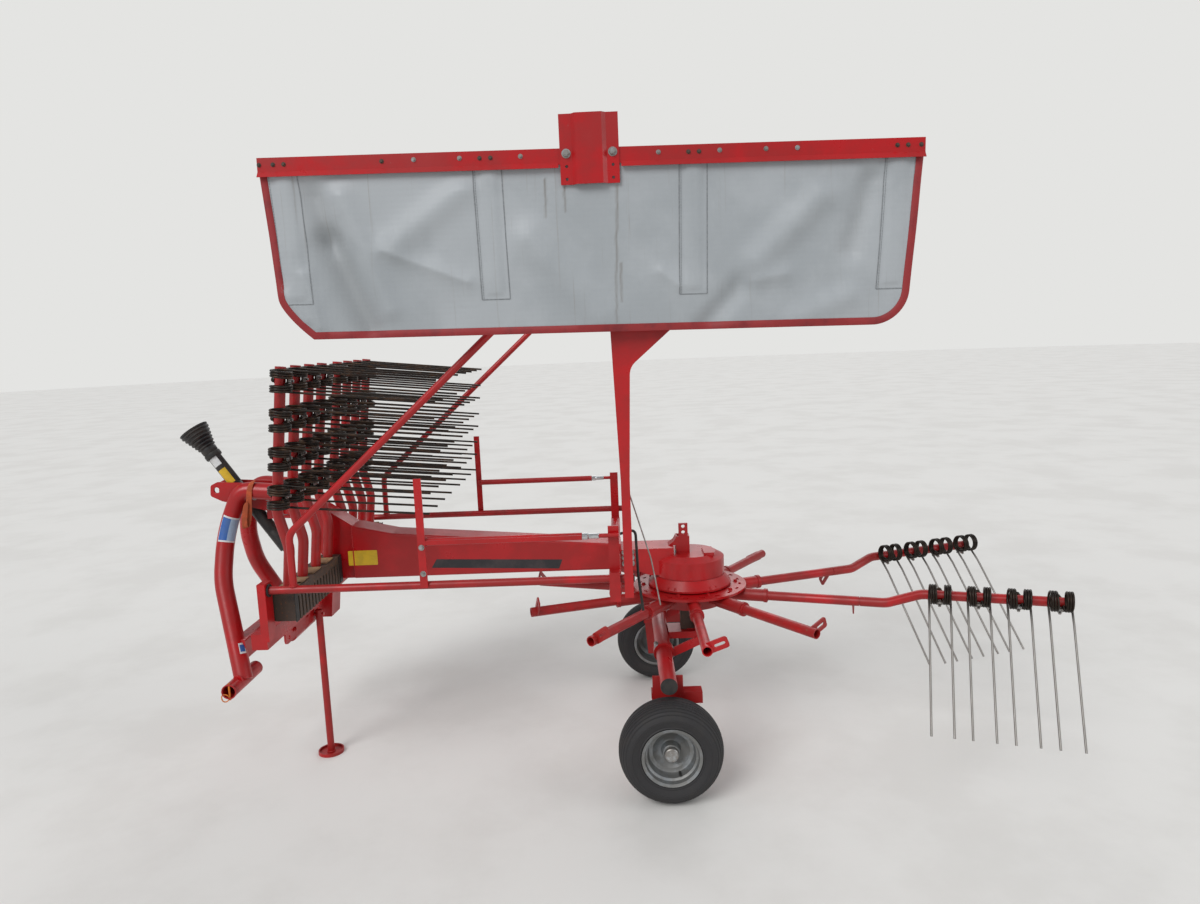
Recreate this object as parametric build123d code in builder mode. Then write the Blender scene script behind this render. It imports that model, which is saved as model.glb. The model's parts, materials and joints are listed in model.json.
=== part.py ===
from build123d import *
from math import cos, radians, sin
import os

os.makedirs("parts", exist_ok=True)

# Rotary rake on a three-point headstock, parked on two wheels and a jack leg.
# Millimetres. The rotor axis is at x = 0, y = 0, the floor at z = 0, travel is towards -X,
# and +Y is the machine's right side. ROW_SHIFT moves the finished pieces so that the
# middle of the whole machine stands over the origin.
ROW_SHIFT = (310, 30, 0)
FIT_GAP = 0.2
RUNNING_GAP = 0.3
CLEARANCE = 6

# Wheels
TYRE_D = 406
TYRE_W = 165
TYRE_WALL_H = 97
TYRE_BEAD_W = 124
TYRE_FLANK_W = 148
TYRE_BEAD_H = 22
TYRE_FLANK_H = 60
SHOULDER_H = 22
SHOULDER_W = 26
SHOULDER_DROP = 6
RIM_SEAT_D = TYRE_D - 2 * TYRE_WALL_H
RIM_LIP_H = 10
RIM_LIP_D = RIM_SEAT_D + 2 * RIM_LIP_H
RIM_W = 140
TRACK = 1190
AXLE_X = -136
# The axle tube passes over the tyres at this height above them
AXLE_OVER_TYRE = 54
AXLE_TUBE_Z = TYRE_D + AXLE_OVER_TYRE
AXLE_TUBE_D = 66
AXLE_HALF = TRACK / 2 + 5
COLLAR_Y = 240
AXLE_COLLAR_D = 86
AXLE_COLLAR_W = 40
STUB_D = 30
HUB_D = 70
HUB_L = 112
HUB_Y = -10
HUB_CAP_T = 8
RIM_WALL = 8
RIM_DISC_Y = -14
RIM_DISC_T = 9
RIM_DISC_EDGE_Y = 20
RIM_DISC_EDGE_T = 10
RIM_DISC_REACH = 40

# Rotor
ARM_COUNT = 10
FIRST_ARM_ANGLE = 18
ARM_STEP = 360 / ARM_COUNT
SOCKET_OVER_AXLE = 185
SOCKET_Z = AXLE_TUBE_Z + SOCKET_OVER_AXLE
SOCKET_END_R = 727
SOCKET_D = 40
SOCKET_BORE_D = 32
SOCKET_BORE_DEPTH = 125
SLEEVE_D = 54
SLEEVE_NECK_D = 46
SLEEVE_START_R = 190
SLEEVE_END_R = 345
SLEEVE_COLLAR_D = 60
SLEEVE_COLLAR_W = 14
HUB_R = 150
HUB_H = 70
COLUMN_D = 99.4
FLANGE_R = 250
FLANGE_T = 10
FLANGE_HOLES = 20
LOCK_PLATE_R = SOCKET_END_R - 28
LOCK_PLATE_L = 84
LOCK_PLATE_W = 44
LOCK_PLATE_T = 6
LOCK_SLOT_L = 42
LOCK_SLOT_W = 12
# Roll of each socket about its own axis, degrees, in the order the sockets are counted
ARM_ROLLS = (-50, -30, 0, 20, 40, 50, 35, 20, 18, -45)
# The mounted arms: name and number of the socket
MOUNTED_ARMS = (("left", 9), ("right", 0))

# Tine arms
ARM_D = 40
CRANK_START = SOCKET_END_R + 108
CRANK_END = CRANK_START + 135
ARM_END_R = CRANK_END + 555
CRANK_OFFSET = 50
CRANK_BEND_R = 110
TINES_PER_ARM = 4
TINE_PITCH = 145
LAST_TINE_R = ARM_END_R - 50
COIL_OD = 84
WIRE_D = 9
COIL_W = 36
COIL_SPREAD = 31
TINE_LENGTH = 550
KNEE_DROP = 78
KNEE_ANGLE = 9
# The coils lie against the side of the arm, turned by this angle towards the tines
COIL_SEAT_ANGLE = 25.3
COIL_SEAT_GAP = 0.5

# Main beam
BEAM_W = 140
BEAM_EDGE_R = 10
NOSE_W = 110
BEAM_OVER_SOCKET = 130
BEAM_REAR_H = 113
BEAM_STEP_H = 197
BEAM_NOSE_H = 325
BEAM_BOTTOM = SOCKET_Z + BEAM_OVER_SOCKET
BEAM_REAR_X = -300
BEAM_REAR_TOP = BEAM_BOTTOM + BEAM_REAR_H
BEAM_STEP_X = -1300
BEAM_STEP_TOP = BEAM_BOTTOM + BEAM_STEP_H
BEAM_NOSE_X = -1610
BEAM_NOSE_TOP = BEAM_BOTTOM + BEAM_NOSE_H
NOSE_LAP = 130
NOSE_RISE = 40
PIVOT_X = -1760
PIVOT_D = 36
PIVOT_BOSS_D = 80
PIVOT_DROP = 145
PIVOT_TOP_Z = BEAM_NOSE_TOP
PIVOT_LOW_Z = BEAM_BOTTOM - PIVOT_DROP
PIVOT_BOSS_H = 60

# Gearbox drum
DRUM_R = 155
DRUM_TOP_R = 118
DRUM_OVER_SOCKET = 185
DRUM_BEVEL_H = 21
DRUM_WALL_H = 72
DRUM_TOP_Z = SOCKET_Z + DRUM_OVER_SOCKET
DRUM_EDGE_Z = DRUM_TOP_Z - DRUM_BEVEL_H
DRUM_LOW_Z = DRUM_EDGE_Z - DRUM_WALL_H
SEAM_H = 4
SEAM_DEPTH = 3
SKIRT_R = 183
NECK_W = 150
NECK_RISE = 34
NECK_TOP_Z = DRUM_TOP_Z + NECK_RISE
NECK_LOW_Z = DRUM_LOW_Z + 8
NECK_START_X = -70
LID_X = 82
LID_Y = -30
LID_L = 44
LID_W = 110
LID_H = 10
LID_SINK = 4
BRACKET_X = -27
BRACKET_W = 60
BRACKET_WALL = 6
BRACKET_H = 74
BRACKET_TOP = DRUM_TOP_Z + BRACKET_H
LUG_W = 40
LUG_T = 12
LUG_H = 58
LUG_LAP = 30
LUG_TOP = BRACKET_TOP + LUG_H
LUG_HOLE_D = 16
LUG_HOLE_ZS = (BRACKET_TOP + 18, BRACKET_TOP + 44)

# Arm rack
RACK_X = -1585
RACK_W = 90
RACK_OVER_BEAM_FOOT = 110
RACK_H = 123
RACK_TOP = BEAM_BOTTOM + RACK_OVER_BEAM_FOOT
RACK_BOTTOM = RACK_TOP - RACK_H
RACK_ARM_PITCH = 146
RACK_FIRST_Y = 98
RACK_ARMS_PER_SIDE = 4
RACK_BORE_DEPTH = 112
# The stored arms lean to the rear, and a sleeve on each plug keeps them above the block
RACK_LEAN = 6.7
RACK_SLEEVE_H = 45
RACK_GROOVE_PITCH = 34
RACK_GROOVE_W = 14
RACK_GROOVE_DEPTH = 7

# Guards
GUARD_Y = 634
GUARD_OVER_BEAM_FOOT = 127
GUARD_Z = BEAM_BOTTOM + GUARD_OVER_BEAM_FOOT
RAIL_D = 30
RAIL_FRONT_X = -1653
RAIL_REAR_X = -256
HOOP_D = 27
HOOP_FOOT_X = -1524
HOOP_FOOT_H = 211
HOOP_H = 1143
HOOP_KNEE_Z = GUARD_Z + HOOP_FOOT_H
HOOP_TOP_Z = GUARD_Z + HOOP_H
HOOP_TOP_X = -479
HOOP_END_X = 95
HOOP_BEND_R = 60
UPRIGHT_X = -1030
UPRIGHT_W = 28
UPRIGHT_T = 6
UPRIGHT_H = 404
UPRIGHT_TOP_Z = GUARD_Z + UPRIGHT_H
STRUT_H = 164
STRUT_Z = GUARD_Z + STRUT_H
STRUT_END_X = -440
STRUT_PIN_D = 16

# Curtain
POST_X = -272
POST_Y = 682
POST_T = 52
POST_FOOT_DROP = 52
POST_FOOT_Z = GUARD_Z - POST_FOOT_DROP
HINGE_OVER_HOOP = 455
HINGE_Z = HOOP_TOP_Z + HINGE_OVER_HOOP
POST_TOP_Z = HINGE_Z + 25
HINGE_PIN_D = 20
HANG_X = -352
HANG_DROP = 108
HANG_Z = HINGE_Z - HANG_DROP
CURTAIN_TILT = 0.85
CURTAIN_Y = 750
CURTAIN_FRONT_X = -1463
CURTAIN_REAR_X = 752
CURTAIN_H = 599
CURTAIN_TOP = HANG_Z + 13
CURTAIN_BOTTOM = CURTAIN_TOP - CURTAIN_H
CURTAIN_TAPER = 50
CURTAIN_CORNER_R = 110
CURTAIN_T = 4
RAIL_SHEET_T = 4
RAIL_BAND_H = 46
RAIL_LIP_H = 18
RAIL_LIP_OUT = 12
RAIL_DEPTH = 28
HAT_T = 5
HAT_W = 196
HAT_CROWN_W = 87
HAT_FLANK_W = 14
HAT_HEIGHT_OUT = 12
HAT_DROP = 100
HAT_LOW_Z = HANG_Z - HAT_DROP
HAT_TOP_Z = HINGE_Z + 18
HAT_HOLE_D = 10
HAT_HOLE_ZS = (HAT_LOW_Z + 18, HAT_LOW_Z + 59)

# Headstock
LEG_D = 64
PLATE_Y = 40
PLATE_T = 10
TOP_LINK_X = -2070
TOP_LINK_H = 90
TOP_LINK_BORE_D = 26
PLATE_CORNER_R = 14
SHAFT_D = 56
SHAFT_BELL_R = 59
SHAFT_BELL_L = 100
SHAFT_BELL_OUT = 25
LINK_TUBE_D = 60
LINK_BORE_D = 50
LINK_X = -1905
LINK_Z = 430
LINK_OUT_Y = 450
LINK_IN_Y = 195

# Jack leg
JACK_X = -1630
JACK_Y = -136
JACK_D = 30
JACK_HINGE_Z = RACK_BOTTOM - 122
JACK_FOOT_D = 110
JACK_FOOT_T = 5
JACK_RIM_H = 14
JACK_RIM_W = 5
JACK_PIN_D = 16

pieces = {}


def finish(name, piece):
    """Keeps a finished piece under its node name."""
    pieces[name] = piece.part


def arm_plane(number):
    """Plane of a rotor arm: x runs out along the socket, -z is the way its tines point."""
    angle = FIRST_ARM_ANGLE + number * ARM_STEP
    roll = ARM_ROLLS[number]
    out = Vector(cos(radians(angle)), sin(radians(angle)), 0)
    up = Vector(0, 0, 1).rotate(Axis((0, 0, 0), out), roll)
    return Plane(origin=(0, 0, SOCKET_Z), x_dir=out, z_dir=up)


# Main beam: closed box girder, higher towards its nose
with BuildPart() as main_beam:
    with BuildSketch(Plane.XZ):
        with BuildLine():
            Polyline(
                (BEAM_REAR_X, BEAM_BOTTOM),
                (BEAM_REAR_X, BEAM_REAR_TOP),
                (BEAM_STEP_X, BEAM_STEP_TOP),
                (BEAM_NOSE_X + NOSE_LAP, BEAM_STEP_TOP + NOSE_RISE),
                (BEAM_NOSE_X + NOSE_LAP, BEAM_BOTTOM),
                close=True,
            )
        make_face()
    extrude(amount=BEAM_W / 2, both=True)
    long_edges = [
        edge
        for edge in main_beam.edges()
        if abs(abs(edge.center().Y) - BEAM_W / 2) < 1 and abs(edge.tangent_at(0.5).X) > 0.9
    ]
    fillet(long_edges, radius=BEAM_EDGE_R)
finish("main_beam", main_beam)

# Nose: C-shaped plate box that holds the two swivel bosses
EAR_R = 38
EAR_CLEAR_X = PIVOT_X + EAR_R + CLEARANCE
with BuildPart() as beam_nose:
    with BuildSketch(Plane.XZ):
        with BuildLine():
            Polyline(
                (BEAM_NOSE_X + NOSE_LAP, BEAM_BOTTOM),
                (BEAM_NOSE_X + NOSE_LAP, BEAM_STEP_TOP + NOSE_RISE),
                (BEAM_NOSE_X, BEAM_NOSE_TOP),
                (EAR_CLEAR_X, PIVOT_TOP_Z + PIVOT_BOSS_H / 2),
                (PIVOT_X, PIVOT_TOP_Z + PIVOT_BOSS_H / 2),
                (PIVOT_X, PIVOT_TOP_Z - PIVOT_BOSS_H / 2),
                (EAR_CLEAR_X, PIVOT_TOP_Z - PIVOT_BOSS_H / 2),
                (BEAM_NOSE_X - 30, PIVOT_TOP_Z - 90),
                (BEAM_NOSE_X - 5, BEAM_BOTTOM - 15),
                (EAR_CLEAR_X, PIVOT_LOW_Z + PIVOT_BOSS_H / 2),
                (PIVOT_X, PIVOT_LOW_Z + PIVOT_BOSS_H / 2),
                (PIVOT_X, PIVOT_LOW_Z - PIVOT_BOSS_H / 2),
                (EAR_CLEAR_X, PIVOT_LOW_Z - PIVOT_BOSS_H / 2),
                (BEAM_NOSE_X + 5, PIVOT_LOW_Z - PIVOT_BOSS_H / 2),
                (BEAM_NOSE_X + 25, BEAM_BOTTOM),
                close=True,
            )
        make_face()
    extrude(amount=NOSE_W / 2, both=True)
    for boss_z in (PIVOT_TOP_Z, PIVOT_LOW_Z):
        with BuildSketch(Plane.XY.offset(boss_z - PIVOT_BOSS_H / 2)):
            with Locations((PIVOT_X, 0)):
                Circle(PIVOT_BOSS_D / 2)
        extrude(amount=PIVOT_BOSS_H)
    for boss_z in (PIVOT_TOP_Z, PIVOT_LOW_Z):
        with BuildSketch(Plane.XY.offset(boss_z - PIVOT_BOSS_H)):
            with Locations((PIVOT_X, 0)):
                Circle(PIVOT_D / 2 + RUNNING_GAP)
        extrude(amount=2 * PIVOT_BOSS_H, mode=Mode.SUBTRACT)
finish("beam_nose", beam_nose)

# Gearbox drum with its neck to the beam
FLANGE_BOTTOM = SOCKET_Z + SLEEVE_D / 2 + FIT_GAP
FLANGE_TOP = FLANGE_BOTTOM + FLANGE_T
SKIRT_BOTTOM = FLANGE_TOP + CLEARANCE
with BuildPart() as gearbox_drum:
    with BuildSketch(Plane.XZ):
        with BuildLine():
            Polyline(
                (0, SKIRT_BOTTOM),
                (SKIRT_R, SKIRT_BOTTOM),
                (SKIRT_R, SKIRT_BOTTOM + 8),
                (DRUM_R, DRUM_LOW_Z - SEAM_H),
                (DRUM_R - SEAM_DEPTH, DRUM_LOW_Z - SEAM_H),
                (DRUM_R - SEAM_DEPTH, DRUM_LOW_Z),
                (DRUM_R, DRUM_LOW_Z),
                (DRUM_R, DRUM_EDGE_Z),
                (DRUM_TOP_R, DRUM_TOP_Z),
                (0, DRUM_TOP_Z),
                close=True,
            )
        make_face()
    revolve(axis=Axis.Z)
    with BuildSketch(Plane.XZ):
        with BuildLine():
            Polyline(
                (NECK_START_X, NECK_LOW_Z),
                (NECK_START_X, NECK_TOP_Z),
                (BEAM_REAR_X, NECK_TOP_Z),
                (BEAM_REAR_X, BEAM_BOTTOM + 15),
                (-DRUM_R - 20, NECK_LOW_Z),
                close=True,
            )
        make_face()
    extrude(amount=NECK_W / 2, both=True)
    with Locations((LID_X, LID_Y, DRUM_TOP_Z + (LID_H - LID_SINK) / 2)):
        Box(LID_L, LID_W, LID_H + LID_SINK)
finish("gearbox_drum", gearbox_drum)

# Upright bracket on the drum: square tube with a web to the neck and a holed lug on its near face
lug_y = -BRACKET_W / 2 + LUG_T / 2
web_x = BRACKET_X - BRACKET_W / 2
with BuildPart() as drum_bracket:
    with BuildSketch(Plane.XY.offset(DRUM_TOP_Z)):
        with Locations((BRACKET_X, 0)):
            Rectangle(BRACKET_W, BRACKET_W)
            Rectangle(BRACKET_W - 2 * BRACKET_WALL, BRACKET_W - 2 * BRACKET_WALL, mode=Mode.SUBTRACT)
    extrude(amount=BRACKET_TOP - DRUM_TOP_Z)
    with BuildSketch(Plane.XZ.offset(-lug_y)):
        with Locations((BRACKET_X + 3, (BRACKET_TOP - LUG_LAP + LUG_TOP) / 2)):
            Rectangle(LUG_W, LUG_TOP - BRACKET_TOP + LUG_LAP)
        with Locations(*[(BRACKET_X + 3, z) for z in LUG_HOLE_ZS]):
            Circle(LUG_HOLE_D / 2, mode=Mode.SUBTRACT)
    extrude(amount=LUG_T / 2, both=True)
    with BuildSketch(Plane.XZ):
        with BuildLine():
            Polyline(
                (web_x, NECK_TOP_Z + FIT_GAP),
                (web_x, BRACKET_TOP - 4),
                (web_x - 10, BRACKET_TOP - 22),
                (web_x - 34, NECK_TOP_Z + FIT_GAP),
                close=True,
            )
        make_face()
    extrude(amount=BRACKET_W / 2, both=True)
finish("drum_bracket", drum_bracket)

# Side carriers: tube from the beam's side, with the rear bearing block of the guard rail
# and the catch plate of its strut
CARRIER_X = -325
CARRIER_Z = GUARD_Z - 57
CARRIER_D = 46
BLOCK_W = 40
BLOCK_H = 60
CATCH_T = 8
catch_y = GUARD_Y - HOOP_D / 2 - CLEARANCE - CATCH_T / 2
with BuildPart() as side_carriers:
    for side in (-1, 1):
        with BuildSketch(Plane.XZ.offset(-side * (BEAM_W / 2 + FIT_GAP))):
            with Locations((CARRIER_X, CARRIER_Z)):
                Circle(CARRIER_D / 2)
        extrude(amount=-side * (GUARD_Y - BEAM_W / 2))
        with Locations((CARRIER_X, side * GUARD_Y, (GUARD_Z + BLOCK_H / 2 + CARRIER_Z - CARRIER_D / 2) / 2)):
            Box(BLOCK_W, BLOCK_H, GUARD_Z + BLOCK_H / 2 - CARRIER_Z + CARRIER_D / 2)
        with Locations((CARRIER_X, side * catch_y, (GUARD_Z + STRUT_Z + 30) / 2)):
            Box(BLOCK_W, CATCH_T, STRUT_Z + 30 - GUARD_Z)
        with BuildSketch(Plane.YZ.offset(CARRIER_X - BLOCK_W)):
            with Locations((side * GUARD_Y, GUARD_Z)):
                Circle(RAIL_D / 2 + RUNNING_GAP)
        extrude(amount=2 * BLOCK_W, mode=Mode.SUBTRACT)
finish("side_carriers", side_carriers)

# Front carrier: cross tube in front of the rack with the front bearing blocks of the rails
FRONT_CARRIER_X = -1660
FRONT_CARRIER_Z = RACK_BOTTOM - 50
FRONT_CARRIER_W = 60
FRONT_BLOCK_X = -1636
FRONT_BLOCK_W = 30
with BuildPart() as front_carrier:
    with Locations((FRONT_CARRIER_X, 0, FRONT_CARRIER_Z)):
        Box(FRONT_CARRIER_W, 2 * GUARD_Y + BLOCK_H, FRONT_CARRIER_W)
    with Locations((FRONT_CARRIER_X, 0, FRONT_CARRIER_Z)):
        Box(2 * FRONT_CARRIER_W, NOSE_W + 2 * FIT_GAP, 2 * FRONT_CARRIER_W, mode=Mode.SUBTRACT)
    for side in (-1, 1):
        with Locations((FRONT_BLOCK_X, side * GUARD_Y, (GUARD_Z + BLOCK_H / 2 + FRONT_CARRIER_Z) / 2)):
            Box(FRONT_BLOCK_W, BLOCK_H, GUARD_Z + BLOCK_H / 2 - FRONT_CARRIER_Z)
        with BuildSketch(Plane.YZ.offset(FRONT_BLOCK_X - FRONT_BLOCK_W)):
            with Locations((side * GUARD_Y, GUARD_Z)):
                Circle(RAIL_D / 2 + RUNNING_GAP)
        extrude(amount=2 * FRONT_BLOCK_W, mode=Mode.SUBTRACT)
finish("front_carrier", front_carrier)

# Arm rack: one holed block each side of the beam
rack_up = Vector(sin(radians(RACK_LEAN)), 0, cos(radians(RACK_LEAN)))
rack_inner_y = NOSE_W / 2 + FIT_GAP
rack_outer_y = RACK_FIRST_Y + RACK_ARM_PITCH * (RACK_ARMS_PER_SIDE - 1) + 42
rack_ys = [side * (RACK_FIRST_Y + RACK_ARM_PITCH * i) for side in (-1, 1) for i in range(RACK_ARMS_PER_SIDE)]
with BuildPart() as arm_rack:
    for side in (-1, 1):
        with BuildSketch(Plane.XY.offset(RACK_BOTTOM)):
            with Locations((RACK_X, side * (rack_inner_y + rack_outer_y) / 2)):
                Rectangle(RACK_W, rack_outer_y - rack_inner_y)
        extrude(amount=RACK_TOP - RACK_BOTTOM)
    for y in rack_ys:
        mouth = Plane(origin=(RACK_X, y, RACK_TOP), x_dir=(0, 1, 0), z_dir=rack_up)
        with BuildSketch(mouth.offset(CLEARANCE)):
            Circle(SOCKET_BORE_D / 2)
        extrude(amount=-RACK_BORE_DEPTH - CLEARANCE, mode=Mode.SUBTRACT)
    groove_h = RACK_TOP - RACK_BOTTOM - 30
    groove_count = int((rack_outer_y - rack_inner_y - 20) // RACK_GROOVE_PITCH)
    for side in (-1, 1):
        for i in range(groove_count):
            groove_y = side * (rack_outer_y - 20 - RACK_GROOVE_PITCH * i)
            with Locations((RACK_X + RACK_W / 2, groove_y, RACK_BOTTOM + groove_h / 2)):
                Box(2 * RACK_GROOVE_DEPTH, RACK_GROOVE_W, groove_h, mode=Mode.SUBTRACT)
finish("arm_rack", arm_rack)

# One tine arm along +X, its tines towards -Z, with the plug that enters a socket
with BuildPart() as tine_arm:
    with BuildLine() as arm_path:
        FilletPolyline(
            (SOCKET_END_R + 2, 0, 0),
            (CRANK_START, 0, 0),
            (CRANK_END, 0, CRANK_OFFSET),
            (ARM_END_R, 0, CRANK_OFFSET),
            radius=CRANK_BEND_R,
        )
    with BuildSketch(Plane.YZ.offset(SOCKET_END_R + 2)):
        Circle(ARM_D / 2)
    sweep(path=arm_path.line)
    with BuildSketch(Plane.YZ.offset(SOCKET_END_R + 2)):
        Circle(SOCKET_BORE_D / 2 - FIT_GAP)
    extrude(amount=-(SOCKET_BORE_DEPTH - 15))

# One double spring tine for an arm along +X: two coils against the side of the tube, a middle
# loop under it, and two legs with a knee
coil_reach = ARM_D / 2 + COIL_OD / 2 + COIL_SEAT_GAP
COIL_Y = -coil_reach * cos(radians(COIL_SEAT_ANGLE))
COIL_Z = -coil_reach * sin(radians(COIL_SEAT_ANGLE))
LEG_Y = COIL_Y + COIL_OD / 2 - WIRE_D / 2
LOOP_Y = WIRE_D
COIL_SIDES = 8
with BuildPart() as double_tine:
    for side in (-1, 1):
        with BuildSketch(Plane.YZ.offset(side * COIL_SPREAD - COIL_W / 2)):
            with Locations(Location((COIL_Y, COIL_Z), COIL_SEAT_ANGLE + 180 / COIL_SIDES)):
                RegularPolygon(COIL_OD / 2, COIL_SIDES, major_radius=False)
                RegularPolygon(COIL_OD / 2 - WIRE_D, COIL_SIDES, major_radius=False, mode=Mode.SUBTRACT)
        extrude(amount=COIL_W)
        leg_x = side * (COIL_SPREAD + COIL_W / 2 - WIRE_D / 2)
        knee = Vector(leg_x, LEG_Y, COIL_Z - KNEE_DROP)
        leg_run = TINE_LENGTH - KNEE_DROP
        tip = knee + Vector(0, sin(radians(KNEE_ANGLE)), -cos(radians(KNEE_ANGLE))) * leg_run
        with BuildLine() as leg_path:
            Polyline((leg_x, LEG_Y, COIL_Z), knee, tip)
        with BuildSketch(Plane(origin=(leg_x, LEG_Y, COIL_Z), z_dir=(0, 0, -1))):
            RegularPolygon(WIRE_D / 2, 6, major_radius=False)
        sweep(path=leg_path.line, transition=Transition.RIGHT)
    with Locations((0, (LEG_Y + LOOP_Y) / 2, -ARM_D / 2 - FIT_GAP - WIRE_D / 2)):
        Box(2 * COIL_SPREAD, LOOP_Y - LEG_Y, WIRE_D)

tine_rs = [LAST_TINE_R - TINE_PITCH * i for i in range(TINES_PER_ARM)]
tine_places = [Location((r, 0, CRANK_OFFSET)) for r in tine_rs]
rack_planes = [
    Plane(
        origin=Vector(RACK_X, y, RACK_TOP) + rack_up * (RACK_SLEEVE_H - SOCKET_END_R),
        x_dir=rack_up,
        z_dir=Vector(-rack_up.Z, 0, rack_up.X),
    )
    for y in rack_ys
]

# Arms and tines stored upright in the rack, tines to the rear
with BuildPart() as stored_arms:
    with Locations(*[plane.location for plane in rack_planes]):
        add(tine_arm.part)
    for plane in rack_planes:
        outward = Plane(origin=plane.origin, x_dir=plane.y_dir, z_dir=plane.x_dir)
        with BuildSketch(outward.offset(SOCKET_END_R - RACK_SLEEVE_H + ARM_D / 2 * rack_up.X + 0.5)):
            Circle(ARM_D / 2)
        extrude(amount=RACK_SLEEVE_H)
finish("stored_arms", stored_arms)

with BuildPart() as stored_tines:
    with Locations(*[plane.location * place for plane in rack_planes for place in tine_places]):
        add(double_tine.part)
finish("stored_tines", stored_tines)

# Rotor column between gearbox and undercarriage
COLUMN_FOOT_Z = AXLE_TUBE_Z + 17 + FIT_GAP
COLUMN_FOOT_X = -15
COLUMN_FOOT_W = 60
COLUMN_FOOT_TOP = SOCKET_Z - 45
COLUMN_LAP = 10
with BuildPart() as rotor_column:
    with BuildSketch(Plane.XY.offset(COLUMN_FOOT_TOP - COLUMN_LAP)):
        Circle(COLUMN_D / 2)
    extrude(amount=SKIRT_BOTTOM - COLUMN_FOOT_TOP + COLUMN_LAP)
    with Locations((COLUMN_FOOT_X, 0, (COLUMN_FOOT_Z + COLUMN_FOOT_TOP) / 2)):
        Box(COLUMN_FOOT_W, COLUMN_FOOT_W, COLUMN_FOOT_TOP - COLUMN_FOOT_Z)
finish("rotor_column", rotor_column)

# Axle tube with its two clamp collars
with BuildPart() as axle_tube:
    with BuildSketch(Plane.XZ.offset(-AXLE_HALF)):
        with Locations((AXLE_X, AXLE_TUBE_Z)):
            Circle(AXLE_TUBE_D / 2)
    extrude(amount=2 * AXLE_HALF)
    for side in (-1, 1):
        with BuildSketch(Plane.XZ.offset(-side * COLLAR_Y)):
            with Locations((AXLE_X, AXLE_TUBE_Z)):
                Circle(AXLE_COLLAR_D / 2)
        extrude(amount=AXLE_COLLAR_W / 2, both=True)
finish("axle_tube", axle_tube)

# Undercarriage frame: wedge plate from each collar to the rear bar, and the plate under the column
WEDGE_T = 10
WEDGE_END_X = 40
BAR_LOW_Z = AXLE_TUBE_Z + 35
BAR_TOP_Z = AXLE_TUBE_Z + 64
BASE_T = 30
base_top = COLUMN_FOOT_Z - FIT_GAP
bar_x = COLUMN_FOOT_X + COLUMN_FOOT_W / 2 + FIT_GAP
wedge_x = AXLE_X + AXLE_COLLAR_D / 2 + FIT_GAP
base_x = AXLE_X + AXLE_TUBE_D / 2 + FIT_GAP
with BuildPart() as undercarriage_frame:
    for side in (-1, 1):
        with BuildSketch(Plane.XZ.offset(-side * COLLAR_Y)):
            with BuildLine():
                Polyline(
                    (wedge_x, AXLE_TUBE_Z - 22),
                    (wedge_x, AXLE_TUBE_Z + 16),
                    (bar_x, BAR_TOP_Z),
                    (WEDGE_END_X, BAR_TOP_Z),
                    (WEDGE_END_X, BAR_LOW_Z),
                    close=True,
                )
            make_face()
        extrude(amount=WEDGE_T / 2, both=True)
    with Locations(((bar_x + WEDGE_END_X) / 2, 0, (BAR_LOW_Z + BAR_TOP_Z) / 2)):
        Box(WEDGE_END_X - bar_x, 2 * COLLAR_Y, BAR_TOP_Z - BAR_LOW_Z)
    with Locations(((base_x + WEDGE_END_X) / 2, 0, base_top - BASE_T / 2)):
        Box(WEDGE_END_X - base_x, 2 * COLUMN_FOOT_W, BASE_T)
    with Locations(((bar_x + WEDGE_END_X) / 2, 0, (base_top + BAR_LOW_Z) / 2)):
        Box(WEDGE_END_X - bar_x, 2 * COLUMN_FOOT_W, BAR_LOW_Z - base_top + 2)
finish("undercarriage_frame", undercarriage_frame)

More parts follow.
